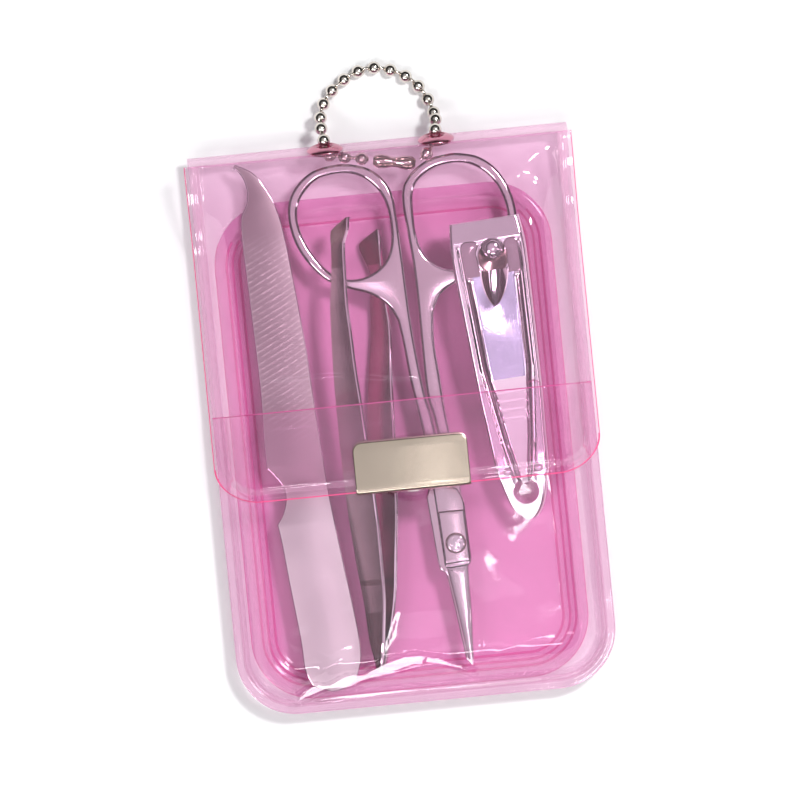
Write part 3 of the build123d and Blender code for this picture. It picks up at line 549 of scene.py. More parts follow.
def terrace(x, y, z, line, z0, light, soft=0.3):
    """A flattened strip along a line of (px, py, half width in px): from height z0 at the line's first
    point the film follows the slope at which it mirrors one light over the strip's whole width."""
    pts = [from_px(q_[0], q_[1]) for q_ in line]
    widths = np.array([q_[2] for q_ in line]) * 0.1835
    lens = np.concatenate([[0], np.cumsum([math.dist(p_, q_) for p_, q_ in zip(pts, pts[1:])])])
    lens /= lens[-1]
    ridge, slopes = [z0], [mirror_slope(*pts[0], z0, light)]
    for p_, q_ in zip(pts, pts[1:]):
        gx, gy = slopes[-1]
        ridge.append(ridge[-1] + gx * (q_[0] - p_[0]) + gy * (q_[1] - p_[1]))
        slopes.append(mirror_slope(*q_, ridge[-1], light))
    d, t = line_distance(x, y, pts)
    near = d < widths.max() + soft + 0.5
    if not near.any():
        return z
    xs, ys, tt = x[near], y[near], t[near]
    cx_ = np.interp(tt, lens, [p_[0] for p_ in pts])
    cy_ = np.interp(tt, lens, [p_[1] for p_ in pts])
    flat = np.interp(tt, lens, ridge)
    flat = flat + np.interp(tt, lens, [g_[0] for g_ in slopes]) * (xs - cx_) + np.interp(tt, lens, [g_[1] for g_ in slopes]) * (ys - cy_)
    m_ = smooth01((np.interp(tt, lens, widths) + soft - d[near]) / soft)
    out = z.copy()
    out[near] = z[near] * (1 - m_) + flat * m_
    return out


pocket_top = pocket_shape(px_, py_)
BOX_LEFT, STRIP_FRONT = (-0.315, -0.246, 0.69), (0.02, -0.42, 0.55)
for line, z0, light in (
    ([(297, 701, 2.2), (307, 693, 6.0), (318, 688, 6.0), (327, 687, 3.2), (333, 685, 4.2), (344, 682, 7.6), (354, 679, 7.6), (364, 676, 4.2), (372, 672, 5.4), (386, 667, 7.0), (400, 662, 7.0), (416, 658, 6.2), (434, 659, 5.0)], 7.4, BOX_LEFT),
    ([(428, 659, 4.6), (440, 660, 5.0), (452, 664, 4.2), (464, 668, 2.8), (474, 671, 1.6)], 12.9, STRIP_FRONT),
    ([(318, 700, 1.6), (350, 697, 2.4), (400, 692, 2.2), (470, 686, 2.0), (540, 679, 1.4)], 4.9, STRIP_FRONT),
):
    pocket_top = terrace(px_, py_, pocket_top, line, z0, light)
for pts_, w_, h_ in (
    ([(470, 668), (520, 640), (560, 630)], 0.5, 0.10), ([(476, 670), (478, 640), (474, 600)], 0.45, 0.10),
    ([(380, 655), (395, 610), (392, 570)], 0.7, 0.10), ([(545, 668), (560, 648), (566, 620)], 0.6, 0.12),
    ([(262, 418), (300, 412), (345, 424), (390, 420)], 0.35, 0.10), ([(262, 428), (310, 424), (352, 436)], 0.35, 0.08),
    ([(300, 640), (330, 655), (352, 640)], 0.8, 0.12), ([(297, 697), (303, 684), (318, 673), (340, 659)], 0.4, 0.34),
):
    pocket_top = pocket_top + crease(px_, py_, [from_px(*q_) for q_ in pts_], w_, h_) * smooth01((pd - 2.6) / 1.5)
cells = np.zeros((px_.shape[0] - 1, px_.shape[1] - 1), int)
mid_d = (pd[:-1, :-1] + pd[1:, 1:]) / 2
cells[mid_d < 0.2] = 1
cells[(mid_d > 1.4) & (mid_d < 2.6)] = 2
cells[-1, :] = 3
pocket = sheet_rows("pocket_film", px_, py_, pocket_top, 0.36, [mat_clear, mat_weld, mat_weld, mat_step], cells, drop=0.08)
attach(pocket, "case")
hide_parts("front_pocket")

# spine wall with its two eyelet holes
sx = np.linspace(-35.0, 35.0, 161)
st = np.linspace(0, 1, 25)
SX, ST = np.meshgrid(sx, st)
sy = 51.75 + (49.98 - 51.75) * ST
sz = 4.2 + 5.9 * ST
bow = 0.10 * np.sin(ST * math.pi) * hash_noise(SX, ST * 6, 6.0, 31)
n_out = np.array([5.8, 1.77]) / math.hypot(5.8, 1.77)
so, thick = 0.0, 0.36
outer = np.stack([SX.ravel(), (sy + n_out[0] * (bow - 0.02)).ravel(), (sz + n_out[1] * (bow - 0.02)).ravel()], 1)
inner = outer - np.array([0, n_out[0] * thick, n_out[1] * thick])
rows, cols = SX.shape
n = rows * cols
idx = np.arange(n).reshape(rows, cols)
a, b, c, d = idx[:-1, :-1].ravel(), idx[:-1, 1:].ravel(), idx[1:, 1:].ravel(), idx[1:, :-1].ravel()
border = np.concatenate([idx[0, :], idx[1:, -1], idx[-1, -2::-1], idx[-2:0:-1, 0]])
nxt = np.roll(border, -1)
f = np.concatenate([np.stack([d, c, b, a], 1), np.stack([a + n, b + n, c + n, d + n], 1), np.stack([border, nxt, nxt + n, border + n], 1)])
spine = new_mesh("spine_film", np.concatenate([outer, inner]), f, [mat_flap])
cutters = []
for ex in (-9.6, 10.85):
    bm = bmesh.new()
    bmesh.ops.create_cone(bm, cap_ends=True, segments=48, radius1=1.96 * MM, radius2=1.96 * MM, depth=8 * MM)
    me = bpy.data.meshes.new("hole")
    rot = Vector((0, n_out[0], n_out[1])).to_track_quat("Z", "Y").to_matrix().to_4x4()
    bm.transform(Matrix.Translation((ex * MM, 50.77 * MM, 7.4 * MM)) @ rot)
    bm.to_mesh(me)
    bm.free()
    cut = bpy.data.objects.new("hole", me)
    bpy.context.collection.objects.link(cut)
    md = spine.modifiers.new("cut", "BOOLEAN")
    md.object = cut
    md.operation = "DIFFERENCE"
    md.solver = "EXACT"
    cutters.append(cut)
dg = bpy.context.evaluated_depsgraph_get()
done = bpy.data.meshes.new_from_object(spine.evaluated_get(dg))
spine.modifiers.clear()
spine.data = done
for cut in cutters:
    bpy.data.objects.remove(cut, do_unlink=True)
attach(spine, "case")
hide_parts("spine_fold")

# flap film
HEM, FHW, FTOP = -12.3, 35.6, 49.98
CRX, CRY = 8.6, 6.6  # elliptical hem corners


def flap_half(y):
    t = np.clip((HEM + CRY - y) / CRY, 0, 1)
    return FHW - CRX + CRX * np.sqrt(np.maximum(1 - t * t, 0))


turn = 1 - np.cos(np.linspace(0, math.pi / 2, 36, endpoint=False))
fy = np.concatenate([HEM + CRY * turn, np.linspace(HEM + CRY, 46.0, 180, endpoint=False), np.linspace(46.0, FTOP, 26)])
s = spread(26, 110, 4.0, 2 * FHW) / FHW - 1
fw = flap_half(fy)
fx_, fy_ = fw[:, None] * s[None, :], np.repeat(fy[:, None], len(s), 1)
side = FHW - np.abs(fx_)  # how far in from the flap's straight sides
q = smooth01((fy_ - 33.0) / (FTOP - 33.0)) ** 0.9
hem_d = np.minimum(side, fy_ - HEM)
corner = (np.abs(fx_) > FHW - CRX) & (fy_ < HEM + CRY)
ell = np.hypot((np.abs(fx_) - (FHW - CRX)) / CRX, (fy_ - (HEM + CRY)) / CRY)
hem_d = np.where(corner, (1 - ell) * 7.4, hem_d)
profile = 5.05 + 0.12 * np.minimum(side, 2.2) + 9.72 * swell((side - 2.2) / 7.6, 2.1)
wr = 0.14 * hash_noise(fx_, fy_, 12.0, 41) + 0.06 * hash_noise(fx_, fy_ + 7, 5.5, 42)
profile = profile + wr * smooth01((side - 3.0) / 5.0) * (1 - smooth01((fy_ - 40) / 8))
flap_top = (1 - q) * profile + q * 10.47
flap_top = flap_top + (0.5 * weld_lines(hem_d) + 0.22 * np.exp(-(((hem_d - 2.75) / 0.27) ** 2))) * (1 - smooth01((fy_ - 47) / 2.5))
for pts_, w_, h_ in (
    ([(192, 167), (205, 167), (222, 169), (236, 169)], 0.45, 0.24), ([(258, 178), (282, 173), (302, 176)], 0.5, 0.24),
    ([(300, 212), (335, 206), (378, 205)], 0.5, 0.26), ([(335, 193), (355, 190), (377, 194)], 0.45, 0.20),
    ([(414, 202), (440, 197), (470, 195), (500, 198), (512, 208)], 0.5, 0.24), ([(495, 185), (520, 168), (532, 156), (548, 150)], 1.1, 0.46),
    ([(512, 176), (528, 172), (540, 180), (552, 174)], 0.9, 0.40), ([(262, 380), (330, 372), (420, 376)], 0.6, 0.16),
    ([(205, 200), (208, 260), (214, 330)], 0.6, 0.16), ([(222, 190), (227, 250), (232, 320)], 0.8, 0.14),
):
    flap_top = flap_top + crease(fx_, fy_, [from_px(*q_) for q_ in pts_], w_, h_) * smooth01((hem_d - 2.6) / 1.5)
flap_top = np.minimum(flap_top, 15.2)
near_plate = smooth01((13.5 - np.abs(fx_ - 0.6)) / 2.0) * smooth01((2.0 - fy_) / 3.0)
flap_top = flap_top * (1 - near_plate) + 15.12 * near_plate
cells = np.zeros((fx_.shape[0] - 1, fx_.shape[1] - 1), int)
mid_d = (hem_d[:-1, :-1] + hem_d[1:, 1:]) / 2
cells[mid_d < 0.22] = 1
cells[(mid_d > 1.4) & (mid_d < 2.6)] = 2
flap = sheet_rows("flap_film", fx_, fy_, flap_top, 0.36, [mat_flap, mat_hem, mat_weld], cells, drop=0.1)
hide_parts("flap")
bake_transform(flap)

# ------------------------------------------------------------------ solid builders
def spline(points, step=0.6, closed=False):
    """Catmull-Rom curve through points, about step apart."""
    p = [np.array(q, float) for q in points]
    n = len(p)
    out = []
    last = n if closed else n - 1
    for i in range(last):
        a = p[(i - 1) % n] if (closed or i > 0) else 2 * p[0] - p[1]
        b, c = p[i], p[(i + 1) % n]
        d = p[(i + 2) % n] if (closed or i + 2 < n) else 2 * c - b
        k = max(1, int(round(np.linalg.norm(c - b) / step)))
        for j in range(k):
            t = j / k
            out.append(0.5 * ((2 * b) + (c - a) * t + (2 * a - 5 * b + 4 * c - d) * t * t + (3 * b - a - 3 * c + d) * t ** 3))
    if not closed:
        out.append(p[-1])
    return [tuple(q) for q in out]


def straight(points, step=0.8):
    out = []
    for a, b in zip(points, points[1:]):
        k = max(1, int(round(math.dist(a, b) / step)))
        out += [(a[0] + (b[0] - a[0]) * j / k, a[1] + (b[1] - a[1]) * j / k) for j in range(k)]
    out.append(points[-1])
    return out


def loop_of(parts):
    """One closed loop from curve runs that meet end to end."""
    out = []
    for run in parts:
        for q in run:
            if not out or math.dist(out[-1], q) > 0.02:
                out.append((float(q[0]), float(q[1])))
    if math.dist(out[0], out[-1]) <= 0.02:
        out.pop()
    return out


def signed_area(loop):
    p = np.array(loop)
    q = np.roll(p, -1, 0)
    return 0.5 * float((p[:, 0] * q[:, 1] - q[:, 0] * p[:, 1]).sum())


class Solid:
    """Vertices, faces and material numbers, gathered from several closed shells."""

    def __init__(self):
        self.v, self.f, self.m = [], [], []

    def add(self, verts, faces, mats):
        o = len(self.v)
        self.v += [tuple(float(c) for c in q) for q in verts]
        self.f += [tuple(int(i) + o for i in q) for q in faces]
        self.m += list(mats)

    def make(self, name, mats, place=None, sharp=28):
        v = self.v
        if place is not None:
            v = [tuple(place @ Vector(q)) for q in v]
        ob = new_mesh(name, v, self.f, mats, self.m)
        ob.data.set_sharp_from_angle(angle=math.radians(sharp))
        return ob

    def plate(self, outer, holes, z0, z1, top=(0.3, 0.3), low=(0.15, 0.15), seg=3, face=0, edge=1, cham=None):
        """A plate with rolled edges. top and low are each bevel's width and height.
        cham is a flat ground chamfer instead of the top roll: its width and height."""
        loops = [outer if signed_area(outer) > 0 else outer[::-1]]
        loops += [h if signed_area(h) < 0 else h[::-1] for h in holes]
        loops = [np.array(q, float) for q in loops]
        seg_a = np.concatenate(loops)
        seg_b = np.concatenate([np.roll(q, -1, 0) for q in loops])
        normals, widths = [], []
        for q in loops:
            d1 = q - np.roll(q, 1, 0)
            d2 = np.roll(q, -1, 0) - q
            d1 /= np.linalg.norm(d1, axis=1)[:, None] + 1e-12
            d2 /= np.linalg.norm(d2, axis=1)[:, None] + 1e-12
            n1 = np.stack([-d1[:, 1], d1[:, 0]], 1)
            n2 = np.stack([-d2[:, 1], d2[:, 0]], 1)
            n = n1 + n2
            n /= np.linalg.norm(n, axis=1)[:, None] + 1e-12
            miter = np.clip(1 / np.clip((n * n1).sum(1), 0.45, 1), 1, 2)
            # room along the inward normal
            e = seg_b - seg_a
            room = np.full(len(q), 1e3)
            for i, (pt, nn) in enumerate(zip(q, n)):
                den = nn[0] * e[:, 1] - nn[1] * e[:, 0]
                w = seg_a - pt
                with np.errstate(divide="ignore", invalid="ignore"):
                    t = (w[:, 0] * e[:, 1] - w[:, 1] * e[:, 0]) / den
                    u = (w[:, 0] * nn[1] - w[:, 1] * nn[0]) / den
                ok = (t > 0.02) & (u > -1e-6) & (u < 1 + 1e-6) & np.isfinite(t)
                if ok.any():
                    room[i] = t[ok].min()
            for _ in range(3):
                room = np.minimum(room, 0.5 * (np.roll(room, 1) + np.roll(room, -1)) + 0.05)
            normals.append(n * miter[:, None])
            widths.append(room)
        levels = []
        for k in range(seg + 1):
            a = math.pi / 2 * (1 - k / seg)
            levels.append((low[0] * (1 - math.cos(a)), z0, low[1] * (1 - math.sin(a)), low[0], 1))
        if cham:
            w_, h_ = cham
            for inset, dz in ((0.0, -h_ - 0.12), (0.02, -h_ - 0.03), (0.07, -h_ * 0.93), (w_ * 0.35, -h_ * 0.62), (w_ * 0.75, -h_ * 0.2), (w_ * 0.9, -h_ * 0.06), (w_, -0.012), (w_ + 0.06, 0.0)):
                levels.append((inset, z1, dz, w_ + 0.06, 1))
        else:
            for k in range(seg + 1):
                a = math.pi / 2 * k / seg
                levels.append((top[0] * (1 - math.cos(a)), z1, -top[1] * (1 - math.sin(a)), top[0], 1))
        total = sum(len(q) for q in loops)
        verts = []
        for inset, z, dz, full, _ in levels:
            for q, n, room in zip(loops, normals, widths):
                share = np.clip(0.40 * room / max(full, 1e-6), 0.0, 1.0)
                pts = q + n * (inset * share)[:, None]
                verts += [(p[0], p[1], z + dz * s_) for p, s_ in zip(pts, share)]
        faces, mats = [], []
        start = 0
        spans = []
        for q in loops:
            spans.append((start, len(q)))
            start += len(q)
        for li in range(len(levels) - 1):
            for s0, cnt in spans:
                for j in range(cnt):
                    j2 = (j + 1) % cnt
                    faces.append((li * total + s0 + j, li * total + s0 + j2, (li + 1) * total + s0 + j2, (li + 1) * total + s0 + j))
                    mats.append(edge)
        for li, flip in ((len(levels) - 1, False), (0, True)):
            poly, o = [], []
            for s0, cnt in spans:
                poly.append([Vector((verts[li * total + s0 + j][0], verts[li * total + s0 + j][1], 0)) for j in range(cnt)])
                o += [li * total + s0 + j for j in range(cnt)]
            from mathutils.geometry import tessellate_polygon
            for tri in tessellate_polygon(poly):
                a, b, c = (o[i] for i in tri)
                pa, pb, pc = verts[a], verts[b], verts[c]
                up = (pb[0] - pa[0]) * (pc[1] - pa[1]) - (pb[1] - pa[1]) * (pc[0] - pa[0]) > 0
                if up == flip:
                    a, b, c = a, c, b
                faces.append((a, b, c))
                mats.append(face)
        self.add(verts, faces, mats)

    def tube(self, rings, mat=0, caps=True):
        """Rings of the same count of points, joined along, with end caps. mat may be one number or one per side."""
        k, n = len(rings), len(rings[0])
        verts = [q for r_ in rings for q in r_]
        side = mat if isinstance(mat, (list, tuple)) else [mat] * n
        faces, mats = [], []
        for i in range(k - 1):
            for j in range(n):
                j2 = (j + 1) % n
                faces.append((i * n + j, i * n + j2, (i + 1) * n + j2, (i + 1) * n + j))
                mats.append(side[j])
        if caps:
            faces.append(tuple(range(n))[::-1])
            faces.append(tuple((k - 1) * n + j for j in range(n)))
            mats += [side[0], side[0]]
        self.add(verts, faces, mats)

    def turned(self, profile, at=(0, 0, 0), axis=(0, 0, 1), n=28, mat=0, x_dir=None):
        """A profile of (radius, height) points turned round an axis."""
        q = Vector(axis).to_track_quat("Z", "Y")
        rings = []
        for r_, h in profile:
            ring_ = []
            for j in range(n):
                a = 2 * math.pi * j / n
                p = q @ Vector((r_ * math.cos(a), r_ * math.sin(a), h))
                ring_.append((p.x + at[0], p.y + at[1], p.z + at[2]))
            rings.append(ring_)
        self.tube(rings, mat)


def swap(ob, body, slot_name, *node_names):
    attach(ob, body)
    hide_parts(*node_names)
    return ob


# ------------------------------------------------------------------ nail file
file_right = [
    (-26.35, 49.79), (-23.16, 47.94), (-21.05, 44.67), (-19.55, 41.17), (-18.36, 34.62),
    (-16.67, 16.51), (-16.17, 7.15), (-15.49, -4.49), (-14.97, -12.16), (-13.63, -24.35),
    (-12.52, -33.47), (-11.95, -40.0), (-12.15, -43.4),
]
file_left = [(-21.4, -46.9), (-22.56, -43.75), (-22.86, -38.1), (-23.85, -28.14), (-24.54, -20.51), (-25.03, -16.81)]
file_notch = [(-25.03, -16.81), (-23.68, -14.7), (-23.01, -12.22), (-23.24, -10.22), (-24.45, -8.13), (-25.97, -6.29)]
file_upper = [(-25.97, -6.29), (-26.0, -0.92), (-25.74, 7.52), (-25.97, 19.27), (-26.38, 33.88), (-26.36, 38.78)]
file_neck = [(-26.36, 38.78), (-26.05, 40.28), (-24.85, 42.59), (-24.65, 45.32), (-25.34, 47.55), (-26.7, 49.21)]
body = Solid()
body.plate(
    loop_of([spline(file_right), spline([file_right[-1], (-13.6, -46.6), (-17.3, -48.25), file_left[0]]),
             spline(file_left), spline(file_notch), spline(file_upper), spline(file_neck)]),
    [], 4.5, 5.4, top=(0.22, 0.2), low=(0.15, 0.15),
)
nail_file = swap(body.make("file_blank", [mat_file, mat_edge]), "file", "file_steel", "nail_file")

# ------------------------------------------------------------------ scissors
ring_l_out = [
    (0.63, 18.4), (-1.0, 21.5), (-4.05, 23.75), (-8.3, 25.3), (-11.98, 27.3), (-15.3, 31.4),
    (-17.1, 35.8), (-17.45, 40.3), (-16.1, 44.0), (-12.39, 47.1), (-7.09, 48.0), (-2.4, 46.9),
    (0.48, 44.5), (1.98, 41.3), (2.39, 36.24),
]
ring_l_in = [
    (-6.97, 46.3), (-11.2, 45.75), (-14.3, 43.2), (-15.75, 40.1), (-15.5, 36.4), (-14.0, 32.6),
    (-11.4, 28.9), (-8.8, 27.1), (-5.62, 26.7), (-2.44, 27.8), (-0.2, 29.9), (0.95, 33.3),
    (0.95, 37.88), (0.0, 41.5), (-1.99, 44.2), (-4.29, 45.7),
]
ring_r_out = [
    (4.03, 34.24), (3.59, 39.17), (3.95, 42.6), (5.76, 45.2), (9.02, 47.3), (12.44, 47.95),
    (14.59, 47.95), (18.15, 47.0), (20.99, 44.8), (23.08, 41.4), (24.18, 37.1), (23.9, 33.3),
    (22.3, 29.8), (19.2, 26.8), (15.4, 25.0), (11.6, 24.1), (8.9, 22.4), (7.35, 19.6),
]
ring_r_in = [
    (14.1, 46.2), (10.39, 45.75), (7.3, 44.0), (5.75, 41.6), (5.41, 37.47), (5.72, 32.85),
    (7.18, 29.3), (10.5, 27.0), (14.4, 26.9), (18.0, 28.4), (20.8, 30.9), (22.3, 33.8),
    (22.5, 37.2), (21.4, 40.9), (19.6, 43.6), (17.0, 45.5),
]
SZ, SMID, FY = 4.65, 5.5, -8.0
left = Solid()
left.plate(
    loop_of([
        spline(ring_l_out),
        spline([(2.39, 36.24), (2.64, 29.48), (3.15, 16.41), (4.25, 5.0), (5.2, 0.0), (6.2, FY)]),
        straight([(6.2, FY), (3.95, FY)]),
        spline([(3.95, FY), (2.9, 0.0), (1.83, 7.43), (1.2, 14.0), (0.63, 18.4)]),
    ]),
    [spline(ring_l_in, closed=True)], SZ, SZ + 1.8, low=(0.4, 0.4), seg=4, cham=(0.5, 0.25),
)
left.plate(
    loop_of([
        straight([(3.95, FY + 1.2), (3.95, FY)]),
        spline([(3.95, FY), (4.0, -11.5), (4.17, -14.66)]),
        straight([(4.17, -14.66), (4.85, -27.2)]),
        spline([(4.85, -27.2), (5.05, -27.65), (5.94, -27.83)]),
        straight([(5.94, -27.83), (8.54, -27.63)]),
        spline([(8.54, -27.63), (9.5, -27.35), (9.85, -26.61)]),
        straight([(9.85, -26.61), (9.56, -16.24)]),
        spline([(9.56, -16.24), (9.1, -14.39), (7.63, -12.0), (6.4, -9.6), (6.2, FY)]),
        straight([(6.2, FY), (6.1, FY + 1.2), (3.95, FY + 1.2)]),
    ]), [], SMID + 0.05, SMID + 0.95, low=(0.02, 0.02), cham=(0.34, 0.18),
)
left.plate(
    straight([(4.5, -17.2), (4.95, -27.0), (9.65, -26.8), (9.4, -17.2), (4.5, -17.2)])[:-1],
    [], SMID + 0.9, SMID + 1.3, low=(0.02, 0.02), cham=(0.36, 0.18),
)
left.plate(
    straight([(5.2, -27.4), (6.4, -36.0), (7.5, -44.6), (8.23, -46.0), (8.5, -44.57), (9.05, -35.78), (9.15, -27.4), (5.2, -27.4)])[:-1],
    [], SMID + 0.05, SMID + 0.65, top=(0.9, 0.35), low=(0.02, 0.02),
)
scissors_left = swap(left.make("scissors_half_left", [mat_scissors, mat_edge]), "scissors", "tool_steel", "scissors_left_half")
right = Solid()
right.plate(
    loop_of([
        spline(ring_r_out),
        spline([(7.35, 19.6), (6.95, 14.0), (7.34, 7.5), (7.83, 0.11), (8.85, FY)]),
        straight([(8.85, FY), (6.55, FY)]),
        spline([(6.55, FY), (5.5, 0.0), (4.6, 6.0), (4.55, 25.34), (4.03, 34.24)]),
    ]),
    [spline(ring_r_in, closed=True)], SZ, SZ + 1.8, low=(0.4, 0.4), seg=4, cham=(0.5, 0.25),
)
right.plate(
    straight([
        (6.55, FY + 1.0), (6.55, FY - 0.4), (3.2, -13.0), (2.76, -14.52), (3.68, -26.27), (4.0, -27.9),
        (5.0, -28.6), (6.0, -35.5), (7.1, -44.6), (8.15, -46.0), (8.4, -44.6), (8.9, -35.8),
        (8.9, -27.0), (9.2, -16.0), (8.85, FY - 0.4), (8.75, FY + 1.0), (6.55, FY + 1.0),
    ])[:-1], [], SZ, SMID, top=(0.25, 0.2), low=(0.25, 0.2),
)
scissors_right = swap(right.make("scissors_half_right", [mat_scissors, mat_edge]), "scissors_right", "tool_steel", "scissors_right_half")

# pivot screw with a cross recess
SP = (7.27, -23.26)
screw = Solid()
ring_n = 48
cross = math.radians(20)


def recess(x, y):
    u = x * math.cos(cross) + y * math.sin(cross)
    v = -x * math.sin(cross) + y * math.cos(cross)
    arm_ = min(abs(u), abs(v))
    far = max(abs(u), abs(v))
    return 0.26 * max(0.0, min(1.0, (0.2 - arm_) / 0.08)) * max(0.0, min(1.0, (0.95 - far) / 0.15))


rings = []
for rr, zz in [(1.0, 4.67), (1.0, 6.79), (1.55, 6.8), (1.6, 6.9), (1.58, 7.02)]:
    rings.append([(SP[0] + rr * math.cos(2 * math.pi * j / ring_n), SP[1] + rr * math.sin(2 * math.pi * j / ring_n), zz) for j in range(ring_n)])
for rr in (1.5, 1.38, 1.24, 1.1, 1.0, 0.92, 0.84, 0.76, 0.68, 0.6, 0.52, 0.44, 0.36, 0.28, 0.2, 0.12, 0.04):
    row = []
    for j in range(ring_n):
        x, y = rr * math.cos(2 * math.pi * j / ring_n), rr * math.sin(2 * math.pi * j / ring_n)
        row.append((SP[0] + x, SP[1] + y, 7.08 + 0.11 * (1 - (rr / 1.5) ** 2) - recess(x, y)))
    rings.append(row)
screw.tube(rings, 0)
# painted shade: the seat ring round the screw head takes the dark shade material
seat = [(1.62, 6.80), (1.68, 6.86), (1.86, 6.86), (1.92, 6.80), (1.92, 6.74), (1.62, 6.74)]
srings = [[(SP[0] + r_ * math.cos(2 * math.pi * j / 48), SP[1] + r_ * math.sin(2 * math.pi * j / 48), z_) for j in range(48)] for r_, z_ in seat + seat[:1]]
screw.tube(srings, 1, caps=False)
screw_ob = swap(screw.make("pivot_screw", [mat_chrome, mat_painted_shade], sharp=40), "scissors", "tool_steel", "scissors_screw")

# ------------------------------------------------------------------ tweezers
tw_stations = [
    (-45.3, -8.6, 0.92, 5.2, 1.0), (-43.2, -8.45, 1.05, 5.25, 2.2), (-40.0, -8.2, 1.7, 5.4, 3.6),
    (-32.0, -7.6, 2.8, 5.6, 5.4), (-25.0, -7.5, 3.8, 5.8, 6.6), (-17.0, -7.3, 5.1, 6.1, 7.3),
    (-5.0, -7.05, 6.9, 6.45, 7.1), (3.0, -6.85, 8.0, 6.6, 6.5), (10.0, -6.6, 9.2, 6.65, 5.7),
    (17.0, -6.2, 10.2, 6.55, 5.0), (22.0, -6.0, 10.4, 6.45, 4.6), (26.0, -5.85, 10.3, 6.3, 4.3),
    (30.0, -5.8, 9.6, 6.3, 4.1),
]
TU = np.array([-math.sqrt(0.5), 0, math.sqrt(0.5)])
TV = np.array([math.sqrt(0.5), 0, math.sqrt(0.5)])


def arm_mesh(name, side_, cut_at, extra):
    """extra: end stations (y, centre x, centre z, width), given directly."""
    rows = []
    for y, x, s_, z, w in tw_stations:
        if y < cut_at:
            c = np.array([x, y, z]) + side_ * TU * s_ / 2
            rows.append((y, c[0], c[2], w))
    rows += extra
    p = [np.array(q, float) for q in rows]
    fine = []
    for i in range(len(p) - 1):
        a = p[i - 1] if i else 2 * p[0] - p[1]
        b, c = p[i], p[i + 1]
        d = p[i + 2] if i + 2 < len(p) else 2 * c - b
        k = max(1, int(abs(c[0] - b[0]) / 0.5))
        for j in range(k):
            t = j / k
            q = 0.5 * ((2 * b) + (c - a) * t + (2 * a - 5 * b + 4 * c - d) * t * t + (3 * b - a - 3 * c + d) * t ** 3)
            q[0] = b[0] + (c[0] - b[0]) * t
            fine.append(q)
    fine.append(p[-1])
    rings = []
    for y, cx, cz, w in fine:
        c = np.array([cx, y, cz])
        hw, ht, ch = w / 2, 0.38, min(0.16, w / 8)
        row = []
        for a, b in ((-hw, -ht + ch), (-hw, ht - ch), (-hw + ch, ht), (-hw * 0.4, ht + 0.03), (hw * 0.4, ht + 0.03), (hw - ch, ht), (hw, ht - ch), (hw, -ht + ch), (hw - ch, -ht), (-hw + ch, -ht)):
            row.append(tuple(c + TV * a + TU * b))
        rings.append(row)
    m = Solid()
    m.tube(rings, [1, 1, 0, 0, 0, 1, 1, 1, 0, 1])
    ob = m.make(name, [mat_tweezers, mat_edge, mat_tw_painted_dark], sharp=24)
    # painted shade: a dark copy of the steel on the flared tip and on patches low on the arm, standing in for dark
    # reflections
    for poly in ob.data.polygons:
        if poly.material_index == 0:
            y_mm = poly.center.y / MM
            if y_mm > 29.0 or (y_mm < -28.5 and not -34.6 < y_mm < -29.6) :
                poly.material_index = 2
    return ob


tweezers_left = swap(arm_mesh("tweezers_arm_left", 1, 20.0, [
    (22.0, -9.75, 10.0, 4.3), (27.0, -9.35, 9.75, 3.6), (31.0, -9.05, 9.5, 3.2), (33.6, -8.85, 9.3, 3.4),
    (35.9, -8.3, 9.0, 4.3), (37.0, -7.55, 9.5, 2.6), (38.1, -6.6, 10.2, 0.4),
]), "tweezers_left", "tweezer_steel", "tweezers_left_arm")
tweezers_right = swap(arm_mesh("tweezers_arm_right", -1, 20.0, [
    (22.0, -2.5, 2.8, 4.2), (26.0, -2.2, 2.75, 3.3), (28.6, -2.45, 2.8, 3.6), (31.2, -2.9, 2.95, 4.9),
    (33.2, -3.0, 3.2, 5.4), (34.4, -2.1, 4.0, 3.0), (35.5, -1.25, 4.8, 0.4),
]), "tweezers", "tweezer_steel", "tweezers_right_arm")

# ------------------------------------------------------------------ nail clipper
YAW, PITCH = math.radians(3.3), math.radians(3.0)
CX_ = Vector((math.cos(YAW), math.sin(YAW), 0))
CY_ = Vector((-math.sin(YAW) * math.cos(PITCH), math.cos(YAW) * math.cos(PITCH), math.sin(PITCH)))
CZ_ = CX_.cross(CY_)
CLIP = Matrix.Translation((21.09, -14.94, 4.66)) @ Matrix((CX_, CY_, CZ_)).transposed().to_4x4()
leaf_pts = [(1.3, -5.0), (2.3, -3.8), (3.3, -1.8), (4.3, 2.0), (4.95, 5.5), (5.75, 21.6), (6.6, 42.0), (6.5, 47.5), (6.15, 50.4)]
leaf_curve = np.array(spline(leaf_pts, 0.3))


def leaf_half(y):
    return np.interp(y, leaf_curve[:, 1], leaf_curve[:, 0]) + 0.22 * smooth01((y - 8) / 12)


